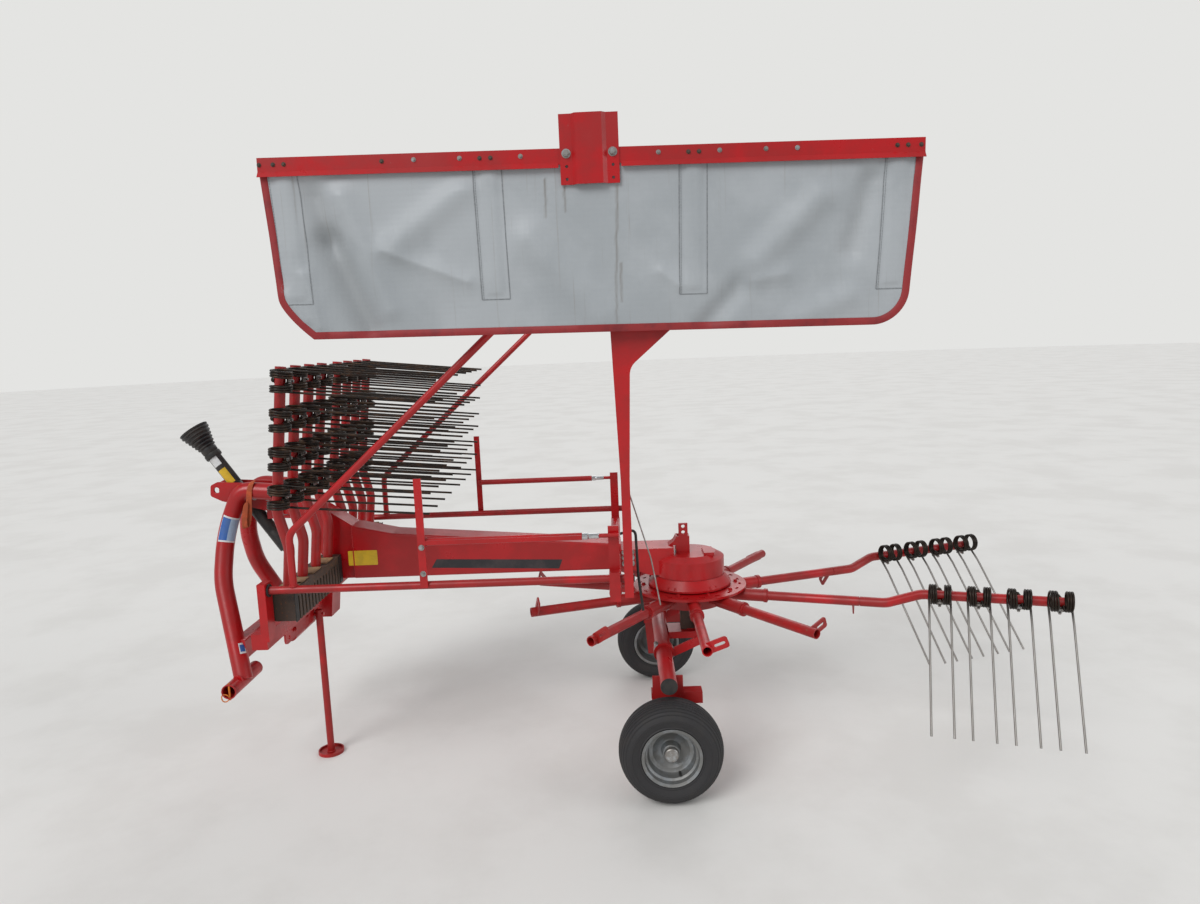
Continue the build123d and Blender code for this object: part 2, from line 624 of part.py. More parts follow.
# Wheel brackets: web under the axle tube, channel, plate down to the stub axle
CHANNEL_W = 60
CHANNEL_WALL = 6
CHANNEL_FRONT_X = AXLE_X - 64
CHANNEL_REAR_X = AXLE_X + 136
CHANNEL_LOW_Z = AXLE_TUBE_Z - 115
CHANNEL_TOP_Z = AXLE_TUBE_Z - 70
channel_l = CHANNEL_REAR_X - CHANNEL_FRONT_X
channel_h = CHANNEL_TOP_Z - CHANNEL_LOW_Z
PLATE_DOWN_T = 10
WHEEL_Z = TYRE_D / 2
with BuildPart() as wheel_brackets:
    for side in (-1, 1):
        plate_y = side * (TRACK / 2 - TYRE_W / 2 - CLEARANCE - PLATE_DOWN_T)
        channel_y = plate_y - side * (CHANNEL_W / 2 - PLATE_DOWN_T / 2)
        channel_middle = ((CHANNEL_FRONT_X + CHANNEL_REAR_X) / 2, channel_y)
        with Locations((*channel_middle, (CHANNEL_LOW_Z + CHANNEL_TOP_Z) / 2)):
            Box(channel_l, CHANNEL_W, channel_h)
        with Locations((*channel_middle, (CHANNEL_LOW_Z + CHANNEL_TOP_Z) / 2 - CHANNEL_WALL)):
            Box(channel_l + 2, CHANNEL_W - 2 * CHANNEL_WALL, channel_h, mode=Mode.SUBTRACT)
        with BuildSketch(Plane.XZ.offset(-plate_y)):
            with BuildLine():
                Polyline(
                    (AXLE_X - 45, WHEEL_Z - 40),
                    (AXLE_X + 45, WHEEL_Z - 40),
                    (AXLE_X + 60, CHANNEL_LOW_Z + CHANNEL_WALL),
                    (AXLE_X + 60, AXLE_TUBE_Z),
                    (AXLE_X - 60, AXLE_TUBE_Z),
                    (AXLE_X - 60, CHANNEL_LOW_Z + CHANNEL_WALL),
                    close=True,
                )
            make_face()
            with Locations((AXLE_X, AXLE_TUBE_Z)):
                Circle(AXLE_TUBE_D / 2 + FIT_GAP, mode=Mode.SUBTRACT)
        extrude(amount=PLATE_DOWN_T / 2, both=True)
        with BuildSketch(Plane.XZ.offset(-plate_y)):
            with Locations((AXLE_X, WHEEL_Z)):
                Circle(STUB_D / 2)
        extrude(amount=-side * (TRACK / 2 - abs(plate_y) + 40))
finish("wheel_brackets", wheel_brackets)

# Rotor flange: pierced disc over the bearing sleeves
with BuildPart() as rotor_flange:
    with BuildSketch(Plane.XY.offset(FLANGE_BOTTOM)):
        Circle(FLANGE_R)
        Circle(COLUMN_D / 2 + RUNNING_GAP, mode=Mode.SUBTRACT)
        with PolarLocations(FLANGE_R - 28, FLANGE_HOLES, start_angle=9):
            SlotOverall(26, 12, rotation=90, mode=Mode.SUBTRACT)
    extrude(amount=FLANGE_T)
finish("rotor_flange", rotor_flange)

# Hub with ten bearing sleeves and the sockets that take the tine arms
with BuildPart() as arm_sockets:
    with BuildSketch(Plane.XY.offset(FLANGE_BOTTOM - HUB_H)):
        Circle(HUB_R)
        Circle(COLUMN_D / 2 + RUNNING_GAP, mode=Mode.SUBTRACT)
    extrude(amount=HUB_H)
    for number in range(ARM_COUNT):
        socket_plane = arm_plane(number)
        outward = Plane(origin=socket_plane.origin, x_dir=socket_plane.y_dir, z_dir=socket_plane.x_dir)
        for start_r, end_r, diameter in (
            (HUB_R - 20, SLEEVE_START_R, SLEEVE_NECK_D),
            (SLEEVE_START_R, SLEEVE_END_R, SLEEVE_D),
            (SLEEVE_END_R - SLEEVE_COLLAR_W, SLEEVE_END_R, SLEEVE_COLLAR_D),
            (SLEEVE_END_R - 5, SOCKET_END_R, SOCKET_D),
        ):
            with BuildSketch(outward.offset(start_r)):
                Circle(diameter / 2)
            extrude(amount=end_r - start_r)
        with BuildSketch(outward.offset(LOCK_PLATE_R)):
            with Locations((LOCK_PLATE_L / 2, 0)):
                RectangleRounded(LOCK_PLATE_L, LOCK_PLATE_W, LOCK_PLATE_W / 4)
            with Locations((LOCK_PLATE_L - LOCK_SLOT_L / 2 - 12, 0)):
                SlotOverall(LOCK_SLOT_L, LOCK_SLOT_W, mode=Mode.SUBTRACT)
        extrude(amount=LOCK_PLATE_T)
        with BuildSketch(outward.offset(SOCKET_END_R)):
            Circle(SOCKET_BORE_D / 2)
        extrude(amount=-SOCKET_BORE_DEPTH, mode=Mode.SUBTRACT)
finish("arm_sockets", arm_sockets)

# The two arms that are mounted, and their tines
for side_name, number in MOUNTED_ARMS:
    plane = arm_plane(number)
    with BuildPart() as mounted_arm:
        with Locations(plane.location):
            add(tine_arm.part)
    finish(f"tine_arm_{side_name}", mounted_arm)
    with BuildPart() as mounted_tines:
        with Locations(*[plane.location * place for place in tine_places]):
            add(double_tine.part)
    finish(f"tines_{side_name}", mounted_tines)

# Wheels: tyre and dished rim
with BuildPart() as tyre:
    with BuildSketch(Plane.XY):
        with BuildLine():
            Polyline(
                (RIM_SEAT_D / 2 + FIT_GAP, -TYRE_BEAD_W / 2),
                (RIM_SEAT_D / 2 + TYRE_BEAD_H, -TYRE_FLANK_W / 2),
                (TYRE_D / 2 - TYRE_FLANK_H, -TYRE_W / 2),
                (TYRE_D / 2 - SHOULDER_H, -TYRE_W / 2 + SHOULDER_DROP),
                (TYRE_D / 2, -TYRE_W / 2 + SHOULDER_W),
                (TYRE_D / 2, TYRE_W / 2 - SHOULDER_W),
                (TYRE_D / 2 - SHOULDER_H, TYRE_W / 2 - SHOULDER_DROP),
                (TYRE_D / 2 - TYRE_FLANK_H, TYRE_W / 2),
                (RIM_SEAT_D / 2 + TYRE_BEAD_H, TYRE_FLANK_W / 2),
                (RIM_SEAT_D / 2 + FIT_GAP, TYRE_BEAD_W / 2),
                close=True,
            )
        make_face()
    revolve(axis=Axis.Y)

with BuildPart() as rim:
    with BuildSketch(Plane.XY):
        with Locations((RIM_SEAT_D / 2 - RIM_WALL / 2, 0)):
            Rectangle(RIM_WALL, RIM_W)
        for side in (-1, 1):
            with Locations(((RIM_SEAT_D / 2 - RIM_WALL + RIM_LIP_D / 2) / 2, side * (RIM_W / 2 + 1))):
                Rectangle(RIM_LIP_D / 2 - RIM_SEAT_D / 2 + RIM_WALL, 4)
        with BuildLine():
            Polyline(
                (RIM_SEAT_D / 2 - RIM_WALL / 2, RIM_DISC_EDGE_Y + RIM_DISC_EDGE_T),
                (RIM_SEAT_D / 2 - RIM_WALL / 2, RIM_DISC_EDGE_Y),
                (RIM_SEAT_D / 2 - RIM_DISC_REACH, RIM_DISC_Y),
                (HUB_D / 2 - 5, RIM_DISC_Y),
                (HUB_D / 2 - 5, RIM_DISC_Y + RIM_DISC_T),
                (RIM_SEAT_D / 2 - RIM_DISC_REACH - 4, RIM_DISC_Y + RIM_DISC_T),
                close=True,
            )
        make_face()
        with Locations(((STUB_D / 2 + RUNNING_GAP + HUB_D / 2) / 2, HUB_Y)):
            Rectangle(HUB_D / 2 - STUB_D / 2 - RUNNING_GAP, HUB_L)
        with Locations((HUB_D / 4, HUB_Y + HUB_L / 2 + HUB_CAP_T / 2)):
            Rectangle(HUB_D / 2, HUB_CAP_T)
    revolve(axis=Axis.Y)

for side_name, side in (("left", -1), ("right", 1)):
    wheel_spot = Location((AXLE_X, side * TRACK / 2, WHEEL_Z), (0, 0, 180 if side < 0 else 0))
    with BuildPart() as placed_tyre:
        with Locations(wheel_spot):
            add(tyre.part)
    finish(f"tyre_{side_name}", placed_tyre)
    with BuildPart() as placed_rim:
        with Locations(wheel_spot):
            add(rim.part)
    finish(f"rim_{side_name}", placed_rim)

# Headstock: two upper plates for the top link
PLATE_REAR_X = PIVOT_X - EAR_R - 14
with BuildPart() as top_plates:
    for side in (-1, 1):
        with BuildSketch(Plane.XZ.offset(-side * PLATE_Y)) as plate_face:
            with BuildLine():
                Polyline(
                    (TOP_LINK_X - 30, PIVOT_TOP_Z + 65),
                    (TOP_LINK_X - 25, PIVOT_TOP_Z + 112),
                    (TOP_LINK_X + 5, PIVOT_TOP_Z + 126),
                    (PLATE_REAR_X, PIVOT_TOP_Z + 108),
                    (PLATE_REAR_X, PIVOT_TOP_Z + 50),
                    (PLATE_REAR_X - 40, PIVOT_TOP_Z - 10),
                    (TOP_LINK_X + 20, PIVOT_TOP_Z + 40),
                    close=True,
                )
            make_face()
            fillet(plate_face.vertices().sort_by(Axis.X)[:3], radius=PLATE_CORNER_R)
            with Locations((TOP_LINK_X, PIVOT_TOP_Z + TOP_LINK_H)):
                Circle(TOP_LINK_BORE_D / 2, mode=Mode.SUBTRACT)
        extrude(amount=PLATE_T / 2, both=True)
finish("top_plates", top_plates)

# Swivel yokes: two ears each side of a boss, and the pin through them
EAR_T = 12
YOKE_W = 2 * PLATE_Y - PLATE_T - 2 * FIT_GAP
YOKE_LENGTH = 100
for yoke_name, boss_z in (("upper_yoke", PIVOT_TOP_Z), ("lower_yoke", PIVOT_LOW_Z)):
    ear_z = PIVOT_BOSS_H / 2 + CLEARANCE + EAR_T / 2
    with BuildPart() as yoke:
        for ear_side in (-1, 1):
            with BuildSketch(Plane.XY.offset(boss_z + ear_side * ear_z - EAR_T / 2)):
                with Locations((PIVOT_X, 0)):
                    Circle(EAR_R)
                with Locations((PIVOT_X - YOKE_LENGTH / 2, 0)):
                    Rectangle(YOKE_LENGTH, YOKE_W)
            extrude(amount=EAR_T)
        with Locations((PIVOT_X - YOKE_LENGTH + 10, 0, boss_z)):
            Box(20, YOKE_W, 2 * ear_z)
        with BuildSketch(Plane.XY.offset(boss_z - ear_z - 10)):
            with Locations((PIVOT_X, 0)):
                Circle(PIVOT_D / 2)
        extrude(amount=2 * ear_z + 20)
    finish(yoke_name, yoke)

# Bent headstock legs, the lower link tubes at their feet and the cross beam between them
LEG_KNEE_X = -2022
LEG_BEND_R = 120
LEG_PATH = [
    # x, y, z of the left leg's corners
    (LINK_X, PLATE_Y + PLATE_T / 2 + LEG_D / 2 + FIT_GAP, PIVOT_TOP_Z + 95),
    (LEG_KNEE_X, 98, PIVOT_TOP_Z - 90),
    (LEG_KNEE_X, 170, PIVOT_TOP_Z - 285),
    (LINK_X + 20, 345, LINK_Z - 30),
]
with BuildPart() as link_tube:
    with BuildSketch(Plane.XZ.offset(-LINK_IN_Y)):
        with Locations((LINK_X, LINK_Z)):
            Circle(LINK_TUBE_D / 2)
            Circle(LINK_BORE_D / 2, mode=Mode.SUBTRACT)
    extrude(amount=-(LINK_OUT_Y - LINK_IN_Y))
leg_clearance = {}
for side_name, side in (("left", -1), ("right", 1)):
    with BuildPart() as link:
        add(link_tube.part if side > 0 else mirror(link_tube.part, about=Plane.XZ))
    finish(f"lower_link_tube_{side_name}", link)
    corners = [(x, side * y, z) for x, y, z in LEG_PATH]
    for grown in (FIT_GAP, 0):
        with BuildPart() as leg:
            with BuildLine() as leg_line:
                FilletPolyline(*corners, radius=LEG_BEND_R)
            with BuildSketch(Plane(origin=corners[0], z_dir=Vector(*corners[1]) - Vector(*corners[0]))):
                Circle(LEG_D / 2 + grown)
            sweep(path=leg_line.line)
            with BuildSketch(Plane.XZ.offset(0)):
                with Locations((LINK_X, LINK_Z)):
                    Circle(LINK_TUBE_D / 2 + FIT_GAP)
            extrude(amount=2 * LINK_OUT_Y, both=True, mode=Mode.SUBTRACT)
            split(bisect_by=Plane.XY.offset(LINK_Z), keep=Keep.TOP)
        if grown:
            leg_clearance[side_name] = leg.part
    finish(f"headstock_leg_{side_name}", leg)

CROSS_X = -1925
CROSS_Z = PIVOT_LOW_Z - 85
CROSS_W = 60
CROSS_H = 90
CROSS_HALF = 290
RISER_W = 66
RISER_H = 180
with BuildPart() as cross_beam:
    with Locations((CROSS_X, 0, CROSS_Z)):
        Box(CROSS_W, 2 * CROSS_HALF, CROSS_H)
    fillet(cross_beam.edges().filter_by(Axis.Y), radius=BEAM_EDGE_R)
    add(leg_clearance["left"], mode=Mode.SUBTRACT)
    add(leg_clearance["right"], mode=Mode.SUBTRACT)
    riser_w = PIVOT_X - YOKE_LENGTH - FIT_GAP - CROSS_X
    with Locations((CROSS_X + riser_w / 2, 0, CROSS_Z + CROSS_H / 2 + 3)):
        Box(riser_w, RISER_W, RISER_H)
finish("cross_beam", cross_beam)

# Half shaft with its bell, strapped up between the upper plates
SHAFT_LOW = Vector(-1800, 0, PIVOT_TOP_Z - 195)
SHAFT_TOP = Vector(-2120, 0, PIVOT_TOP_Z + 285)
STRAP_FROM_FOOT = 300
STRAP_W = 30
shaft_axis = (SHAFT_TOP - SHAFT_LOW).normalized()
with BuildPart() as drive_shaft:
    with BuildSketch(Plane(origin=SHAFT_LOW, z_dir=shaft_axis)):
        Circle(SHAFT_D / 2)
    extrude(amount=(SHAFT_TOP - SHAFT_LOW).length)
    bell_foot = SHAFT_TOP - shaft_axis * (SHAFT_BELL_L - SHAFT_BELL_OUT)
    with BuildSketch(Plane(origin=bell_foot, z_dir=shaft_axis)):
        Circle(SHAFT_D / 2 + 6)
    with BuildSketch(Plane(origin=SHAFT_TOP + shaft_axis * SHAFT_BELL_OUT, z_dir=shaft_axis)):
        Circle(SHAFT_BELL_R)
    loft()
finish("drive_shaft", drive_shaft)
with BuildPart() as shaft_strap:
    with BuildSketch(Plane(origin=SHAFT_LOW + shaft_axis * STRAP_FROM_FOOT, z_dir=shaft_axis)):
        Circle(PLATE_Y - PLATE_T / 2 - FIT_GAP)
        Circle(SHAFT_D / 2 + FIT_GAP, mode=Mode.SUBTRACT)
    extrude(amount=STRAP_W)
finish("shaft_strap", shaft_strap)

# Jack leg with its foot plate, hinged on the transverse bracket under the rack
JACK_EAR_T = 8
JACK_LOCK_Y = -430
JACK_BRACKET_TOP = FRONT_CARRIER_Z - FRONT_CARRIER_W / 2 - FIT_GAP
with BuildPart() as jack_bracket:
    with BuildSketch(Plane.YZ.offset(JACK_X - JACK_D / 2 - CLEARANCE - JACK_EAR_T)):
        with Locations(((JACK_Y + 46 + JACK_LOCK_Y - 20) / 2, JACK_BRACKET_TOP - 32)):
            RectangleRounded(JACK_Y + 46 - JACK_LOCK_Y + 20, 64, 18)
        with Locations((JACK_LOCK_Y + 14, JACK_HINGE_Z)):
            Circle(JACK_PIN_D / 2 + RUNNING_GAP, mode=Mode.SUBTRACT)
    extrude(amount=JACK_EAR_T)
    with Locations((FRONT_CARRIER_X, JACK_Y, JACK_BRACKET_TOP - JACK_EAR_T / 2)):
        Box(FRONT_CARRIER_W, 90, JACK_EAR_T)
    with BuildSketch(Plane.YZ.offset(JACK_X - JACK_D / 2 - CLEARANCE - JACK_EAR_T)):
        with Locations((JACK_Y, JACK_HINGE_Z)):
            Circle(JACK_PIN_D / 2)
    extrude(amount=JACK_D + 2 * CLEARANCE + JACK_EAR_T)
finish("jack_bracket", jack_bracket)
with BuildPart() as jack_leg:
    with BuildSketch(Plane.XY):
        with Locations((JACK_X, JACK_Y)):
            Circle(JACK_FOOT_D / 2)
    extrude(amount=JACK_RIM_H)
    with BuildSketch(Plane.XY.offset(JACK_FOOT_T)):
        with Locations((JACK_X, JACK_Y)):
            Circle(JACK_FOOT_D / 2 - JACK_RIM_W)
    extrude(amount=JACK_RIM_H, mode=Mode.SUBTRACT)
    with BuildSketch(Plane.XY):
        with Locations((JACK_X, JACK_Y)):
            Circle(JACK_D / 2)
    extrude(amount=JACK_HINGE_Z + 20)
    with BuildSketch(Plane.YZ.offset(JACK_X - JACK_D)):
        with Locations((JACK_Y, JACK_HINGE_Z)):
            Circle(JACK_PIN_D / 2 + RUNNING_GAP)
    extrude(amount=2 * JACK_D, mode=Mode.SUBTRACT)
finish("jack_leg", jack_leg)

# Guards of both sides: rail, hoop, upright with strut
for side_name, side in (("left", -1), ("right", 1)):
    y = side * GUARD_Y
    with BuildPart() as guard_rail:
        with BuildSketch(Plane.YZ.offset(RAIL_FRONT_X)):
            with Locations((y, GUARD_Z)):
                Circle(RAIL_D / 2)
        extrude(amount=RAIL_REAR_X - RAIL_FRONT_X)
    finish(f"guard_rail_{side_name}", guard_rail)

    with BuildPart() as guard_hoop:
        with BuildLine() as hoop_line:
            FilletPolyline(
                (HOOP_FOOT_X, y, GUARD_Z),
                (HOOP_FOOT_X, y, HOOP_KNEE_Z),
                (HOOP_TOP_X, y, HOOP_TOP_Z),
                (HOOP_END_X, y, HOOP_TOP_Z),
                radius=HOOP_BEND_R,
            )
        with BuildSketch(Plane.XY.offset(GUARD_Z)):
            with Locations((HOOP_FOOT_X, y)):
                Circle(HOOP_D / 2)
        sweep(path=hoop_line.line)
        with BuildSketch(Plane.YZ.offset(RAIL_FRONT_X)):
            with Locations((y, GUARD_Z)):
                Circle(RAIL_D / 2 + FIT_GAP)
        extrude(amount=RAIL_REAR_X - RAIL_FRONT_X, mode=Mode.SUBTRACT)
        split(bisect_by=Plane.XY.offset(GUARD_Z), keep=Keep.TOP)
    finish(f"guard_hoop_{side_name}", guard_hoop)

    with BuildPart() as guard_upright:
        upright_y = side * (GUARD_Y + RAIL_D / 2 + FIT_GAP + UPRIGHT_T / 2)
        with Locations((UPRIGHT_X, upright_y, (GUARD_Z - 5 + UPRIGHT_TOP_Z) / 2)):
            Box(UPRIGHT_W, UPRIGHT_T, UPRIGHT_TOP_Z - GUARD_Z + 5)
        with BuildSketch(Plane.YZ.offset(UPRIGHT_X)):
            with Locations((y, STRUT_Z)):
                Circle(HOOP_D / 2)
                with Locations((side * HOOP_D / 2, 0)):
                    Rectangle(14, 16)
        extrude(amount=STRUT_END_X - UPRIGHT_X)
        with BuildSketch(Plane.YZ.offset(UPRIGHT_X)):
            with Locations((y, STRUT_Z)):
                Circle(STRUT_PIN_D / 2)
        extrude(amount=CARRIER_X + BLOCK_W / 2 - UPRIGHT_X)
    finish(f"guard_upright_{side_name}", guard_upright)

# Curtain post on the left rail, with its branch to the hoop's end
POST_WIDEN_Z = POST_FOOT_Z + 430
BRANCH_W = 70
BRANCH_LOW = (POST_X + 29, HOOP_TOP_Z - 365)
BRANCH_KNEE = (-20, HOOP_TOP_Z - 175)
BRANCH_BACK = (-70, HOOP_TOP_Z - 115)
BRANCH_FORK = (POST_X + 10, HOOP_TOP_Z - 245)
CLAMP_X = POST_X - 2
CLAMP_W = 32
CLAMP_H = 60
with BuildPart() as curtain_post:
    with BuildSketch(Plane.XZ.offset(POST_Y - POST_T / 2)) as post_face:
        with BuildLine():
            Polyline(
                (POST_X - 18, POST_FOOT_Z),
                (POST_X + 14, POST_FOOT_Z),
                (POST_X + 14, POST_WIDEN_Z),
                BRANCH_LOW,
                BRANCH_KNEE,
                (HOOP_END_X - 35, HOOP_TOP_Z - BRANCH_W / 2),
                (HOOP_END_X, HOOP_TOP_Z - BRANCH_W / 2),
                (HOOP_END_X, HOOP_TOP_Z + BRANCH_W / 2),
                (HOOP_END_X - 65, HOOP_TOP_Z + BRANCH_W / 2),
                BRANCH_BACK,
                BRANCH_FORK,
                (POST_X + 2, POST_TOP_Z),
                (POST_X - 63, POST_TOP_Z),
                (POST_X - 34, BRANCH_FORK[1]),
                (POST_X - 18, POST_WIDEN_Z),
                close=True,
            )
        make_face()
        for corner, radius in ((BRANCH_LOW, 60), (BRANCH_FORK, 24), (BRANCH_KNEE, 60), (BRANCH_BACK, 60)):
            corner_x, corner_z = corner
            near = [v for v in post_face.vertices() if abs(v.X - corner_x) < 1 and abs(v.Y - corner_z) < 1]
            fillet(near, radius=radius)
    extrude(amount=POST_T)
    with Locations((CLAMP_X, -(POST_Y - POST_T / 2 - 25), GUARD_Z)):
        Box(CLAMP_W, CLAMP_H, CLAMP_H)
    with BuildSketch(Plane.YZ.offset(RAIL_FRONT_X)):
        with Locations((-GUARD_Y, GUARD_Z)):
            Circle(RAIL_D / 2 + FIT_GAP)
    extrude(amount=RAIL_REAR_X - RAIL_FRONT_X, mode=Mode.SUBTRACT)
    with BuildSketch(Plane.YZ.offset(-400)):
        with Locations((-POST_Y, HINGE_Z)):
            Circle(HINGE_PIN_D / 2 + RUNNING_GAP)
    extrude(amount=300, mode=Mode.SUBTRACT)
    with Locations((HOOP_END_X - 15, -(POST_Y - POST_T / 2 + 2), HOOP_TOP_Z)):
        Box(30, 12, 30)
finish("curtain_post", curtain_post)

# Curtain: hat bracket with the hinge pin, pressed top rail and the cloth
rail_y = CURTAIN_Y + CURTAIN_T / 2 + FIT_GAP
rail_face_y = rail_y + RAIL_SHEET_T
hat_y = rail_face_y + FIT_GAP
EAR_PLATE_T = 8
EAR_LOW_Z = HINGE_Z - 26
with BuildPart() as curtain_bracket:
    with BuildSketch(Plane.XY.offset(HAT_LOW_Z)):
        with BuildLine() as hat_line:
            Polyline(
                (HANG_X - HAT_W / 2, -hat_y),
                (HANG_X - HAT_CROWN_W / 2 - HAT_FLANK_W, -hat_y),
                (HANG_X - HAT_CROWN_W / 2, -hat_y - HAT_HEIGHT_OUT),
                (HANG_X + HAT_CROWN_W / 2, -hat_y - HAT_HEIGHT_OUT),
                (HANG_X + HAT_CROWN_W / 2 + HAT_FLANK_W, -hat_y),
                (HANG_X + HAT_W / 2, -hat_y),
                (HANG_X + HAT_W / 2, -hat_y - HAT_T),
                (HANG_X + HAT_CROWN_W / 2 + HAT_FLANK_W, -hat_y - HAT_T),
                (HANG_X + HAT_CROWN_W / 2, -hat_y - HAT_HEIGHT_OUT - HAT_T),
                (HANG_X - HAT_CROWN_W / 2, -hat_y - HAT_HEIGHT_OUT - HAT_T),
                (HANG_X - HAT_CROWN_W / 2 - HAT_FLANK_W, -hat_y - HAT_T),
                (HANG_X - HAT_W / 2, -hat_y - HAT_T),
                close=True,
            )
        make_face()
    extrude(amount=HAT_TOP_Z - HAT_LOW_Z)
    for side in (-1, 1):
        with BuildSketch(Plane.XZ.offset(hat_y - 1)):
            with Locations(*[(HANG_X + side * (HAT_W / 2 - 21), z) for z in HAT_HOLE_ZS]):
                Circle(HAT_HOLE_D / 2)
        extrude(amount=HAT_T + 2, mode=Mode.SUBTRACT)
        ear_x = HANG_X + side * (HAT_W / 2 - EAR_PLATE_T / 2)
        ear_y = -(hat_y + HAT_T + POST_Y - HINGE_PIN_D) / 2
        with Locations((ear_x, ear_y, (EAR_LOW_Z + HAT_TOP_Z) / 2)):
            Box(EAR_PLATE_T, hat_y + HAT_T - POST_Y + HINGE_PIN_D, HAT_TOP_Z - EAR_LOW_Z)
    with BuildSketch(Plane.YZ.offset(HANG_X - HAT_W / 2)):
        with Locations((-POST_Y, HINGE_Z)):
            Circle(HINGE_PIN_D / 2)
    extrude(amount=HAT_W)
finish("curtain_bracket", curtain_bracket)

# Plane of the tilted curtain: x to the rear along its rail, y up
tilt = radians(CURTAIN_TILT)
hang_plane = Plane(origin=(HANG_X, 0, HANG_Z), x_dir=(cos(tilt), 0, -sin(tilt)), z_dir=(0, -1, 0))
front = CURTAIN_FRONT_X - HANG_X
rear = CURTAIN_REAR_X - HANG_X
rail_top = CURTAIN_TOP + RAIL_SHEET_T + FIT_GAP - HANG_Z
lip_top = rail_top - RAIL_BAND_H
front_end = hang_plane.from_local_coords((front, 0, 0))
section_plane = Plane(origin=front_end, x_dir=(0, -1, 0), z_dir=-hang_plane.x_dir)
with BuildPart() as curtain_rail:
    with BuildSketch(section_plane):
        with BuildLine():
            Polyline(
                (rail_face_y, rail_top),
                (rail_face_y - RAIL_DEPTH, rail_top),
                (rail_face_y - RAIL_DEPTH, rail_top - RAIL_SHEET_T),
                (rail_y, rail_top - RAIL_SHEET_T),
                (rail_y, lip_top),
                (rail_y + RAIL_LIP_OUT, lip_top - RAIL_LIP_H),
                (rail_face_y + RAIL_LIP_OUT, lip_top - RAIL_LIP_H),
                (rail_face_y, lip_top),
                close=True,
            )
        make_face()
    extrude(amount=front - rear)
    with BuildSketch(Plane.XZ.offset(rail_face_y)):
        with Locations((HANG_X, HANG_Z + lip_top)):
            Rectangle(HAT_W + 2 * CLEARANCE, 4 * RAIL_LIP_H)
    extrude(amount=2 * RAIL_LIP_OUT, mode=Mode.SUBTRACT)
finish("curtain_rail", curtain_rail)
with BuildPart() as curtain:
    with BuildSketch(hang_plane.offset(CURTAIN_Y - CURTAIN_T / 2)) as cloth:
        with BuildLine():
            Polyline(
                (front, CURTAIN_TOP - HANG_Z),
                (rear, CURTAIN_TOP - HANG_Z),
                (rear - CURTAIN_TAPER, CURTAIN_BOTTOM - HANG_Z),
                (front + CURTAIN_TAPER, CURTAIN_BOTTOM - HANG_Z),
                close=True,
            )
        make_face()
        fillet(cloth.vertices().sort_by(Axis.Y)[:2], radius=CURTAIN_CORNER_R)
    extrude(amount=CURTAIN_T)
finish("curtain", curtain)

for name in list(pieces):
    shape = pieces[name]
    moved = shape.moved(Location(ROW_SHIFT))
    moved.label = name
    export_step(moved, f"parts/{name}.step")
    print(name, len(moved.solids()), round(moved.volume))
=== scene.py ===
import json
from math import cos, pi, radians, sin, sqrt, tan

import bmesh
import bpy
from mathutils import Matrix, Vector, noise


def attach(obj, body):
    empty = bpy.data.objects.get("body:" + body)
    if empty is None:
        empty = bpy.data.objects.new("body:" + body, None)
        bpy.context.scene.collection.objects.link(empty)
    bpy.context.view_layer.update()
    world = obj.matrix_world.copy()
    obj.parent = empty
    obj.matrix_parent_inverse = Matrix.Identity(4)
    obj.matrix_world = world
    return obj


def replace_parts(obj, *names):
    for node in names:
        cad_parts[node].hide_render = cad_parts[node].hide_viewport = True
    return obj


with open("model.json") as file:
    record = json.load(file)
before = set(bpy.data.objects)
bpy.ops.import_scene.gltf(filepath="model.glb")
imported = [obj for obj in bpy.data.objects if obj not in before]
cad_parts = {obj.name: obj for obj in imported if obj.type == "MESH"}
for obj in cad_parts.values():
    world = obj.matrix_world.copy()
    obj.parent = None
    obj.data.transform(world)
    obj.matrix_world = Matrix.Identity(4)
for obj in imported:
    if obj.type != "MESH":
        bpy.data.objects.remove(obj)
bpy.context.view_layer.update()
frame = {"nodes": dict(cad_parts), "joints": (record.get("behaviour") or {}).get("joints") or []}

bl_info = {
    "name": "Rotary rake finish",
    "version": (1, 0, 0),
    "blender": (4, 5, 0),
    "location": "3D View > Sidebar > Rake",
    "description": "Dresses the CAD frame of a single-rotor rake: tines, wheels, curtain, fasteners and finishes",
    "category": "Object",
}

JOINTS = {joint["name"]: joint for joint in frame["joints"]}
# Middle of the rotor on the floor: the machine's own zero, from which the tables below are measured
ZERO = Vector((JOINTS["rotor_spin"]["pos_m"][0], JOINTS["rotor_spin"]["pos_m"][1], 0))
WHEEL_X = JOINTS["wheel_left_spin"]["pos_m"][0] - ZERO.x
WHEEL_Y = ZERO.y - JOINTS["wheel_left_spin"]["pos_m"][1]
WHEEL_Z = JOINTS["wheel_left_spin"]["pos_m"][2]
ROTOR_Z = JOINTS["rotor_spin"]["pos_m"][2]
GUARD_Y = ZERO.y - JOINTS["guard_left_fold"]["pos_m"][1]
GUARD_Z = JOINTS["guard_left_fold"]["pos_m"][2]
AXLE_TUBE_Z = 0.460
STRUT_Z = 1.066
LINK_Z = 0.430
CURTAIN_TILT = radians(0.85)
HANG = Vector((-0.352, 0, 2.392))
ARM_ROLLS = (-50, -30, 0, 20, 40, 50, 35, 20, 18, -45)
MOUNTED = {"left": 9, "right": 0}
SOCKET_END_R = 0.727
RACK_X = -1.585
RACK_TOP = 0.885
RACK_YS = [side * (0.098 + 0.146 * i) for side in (-1, 1) for i in range(4)]
TINE_RS = [1.475 - 0.145 * i for i in range(4)]
CRANK = 0.05
ARM_R = 0.020
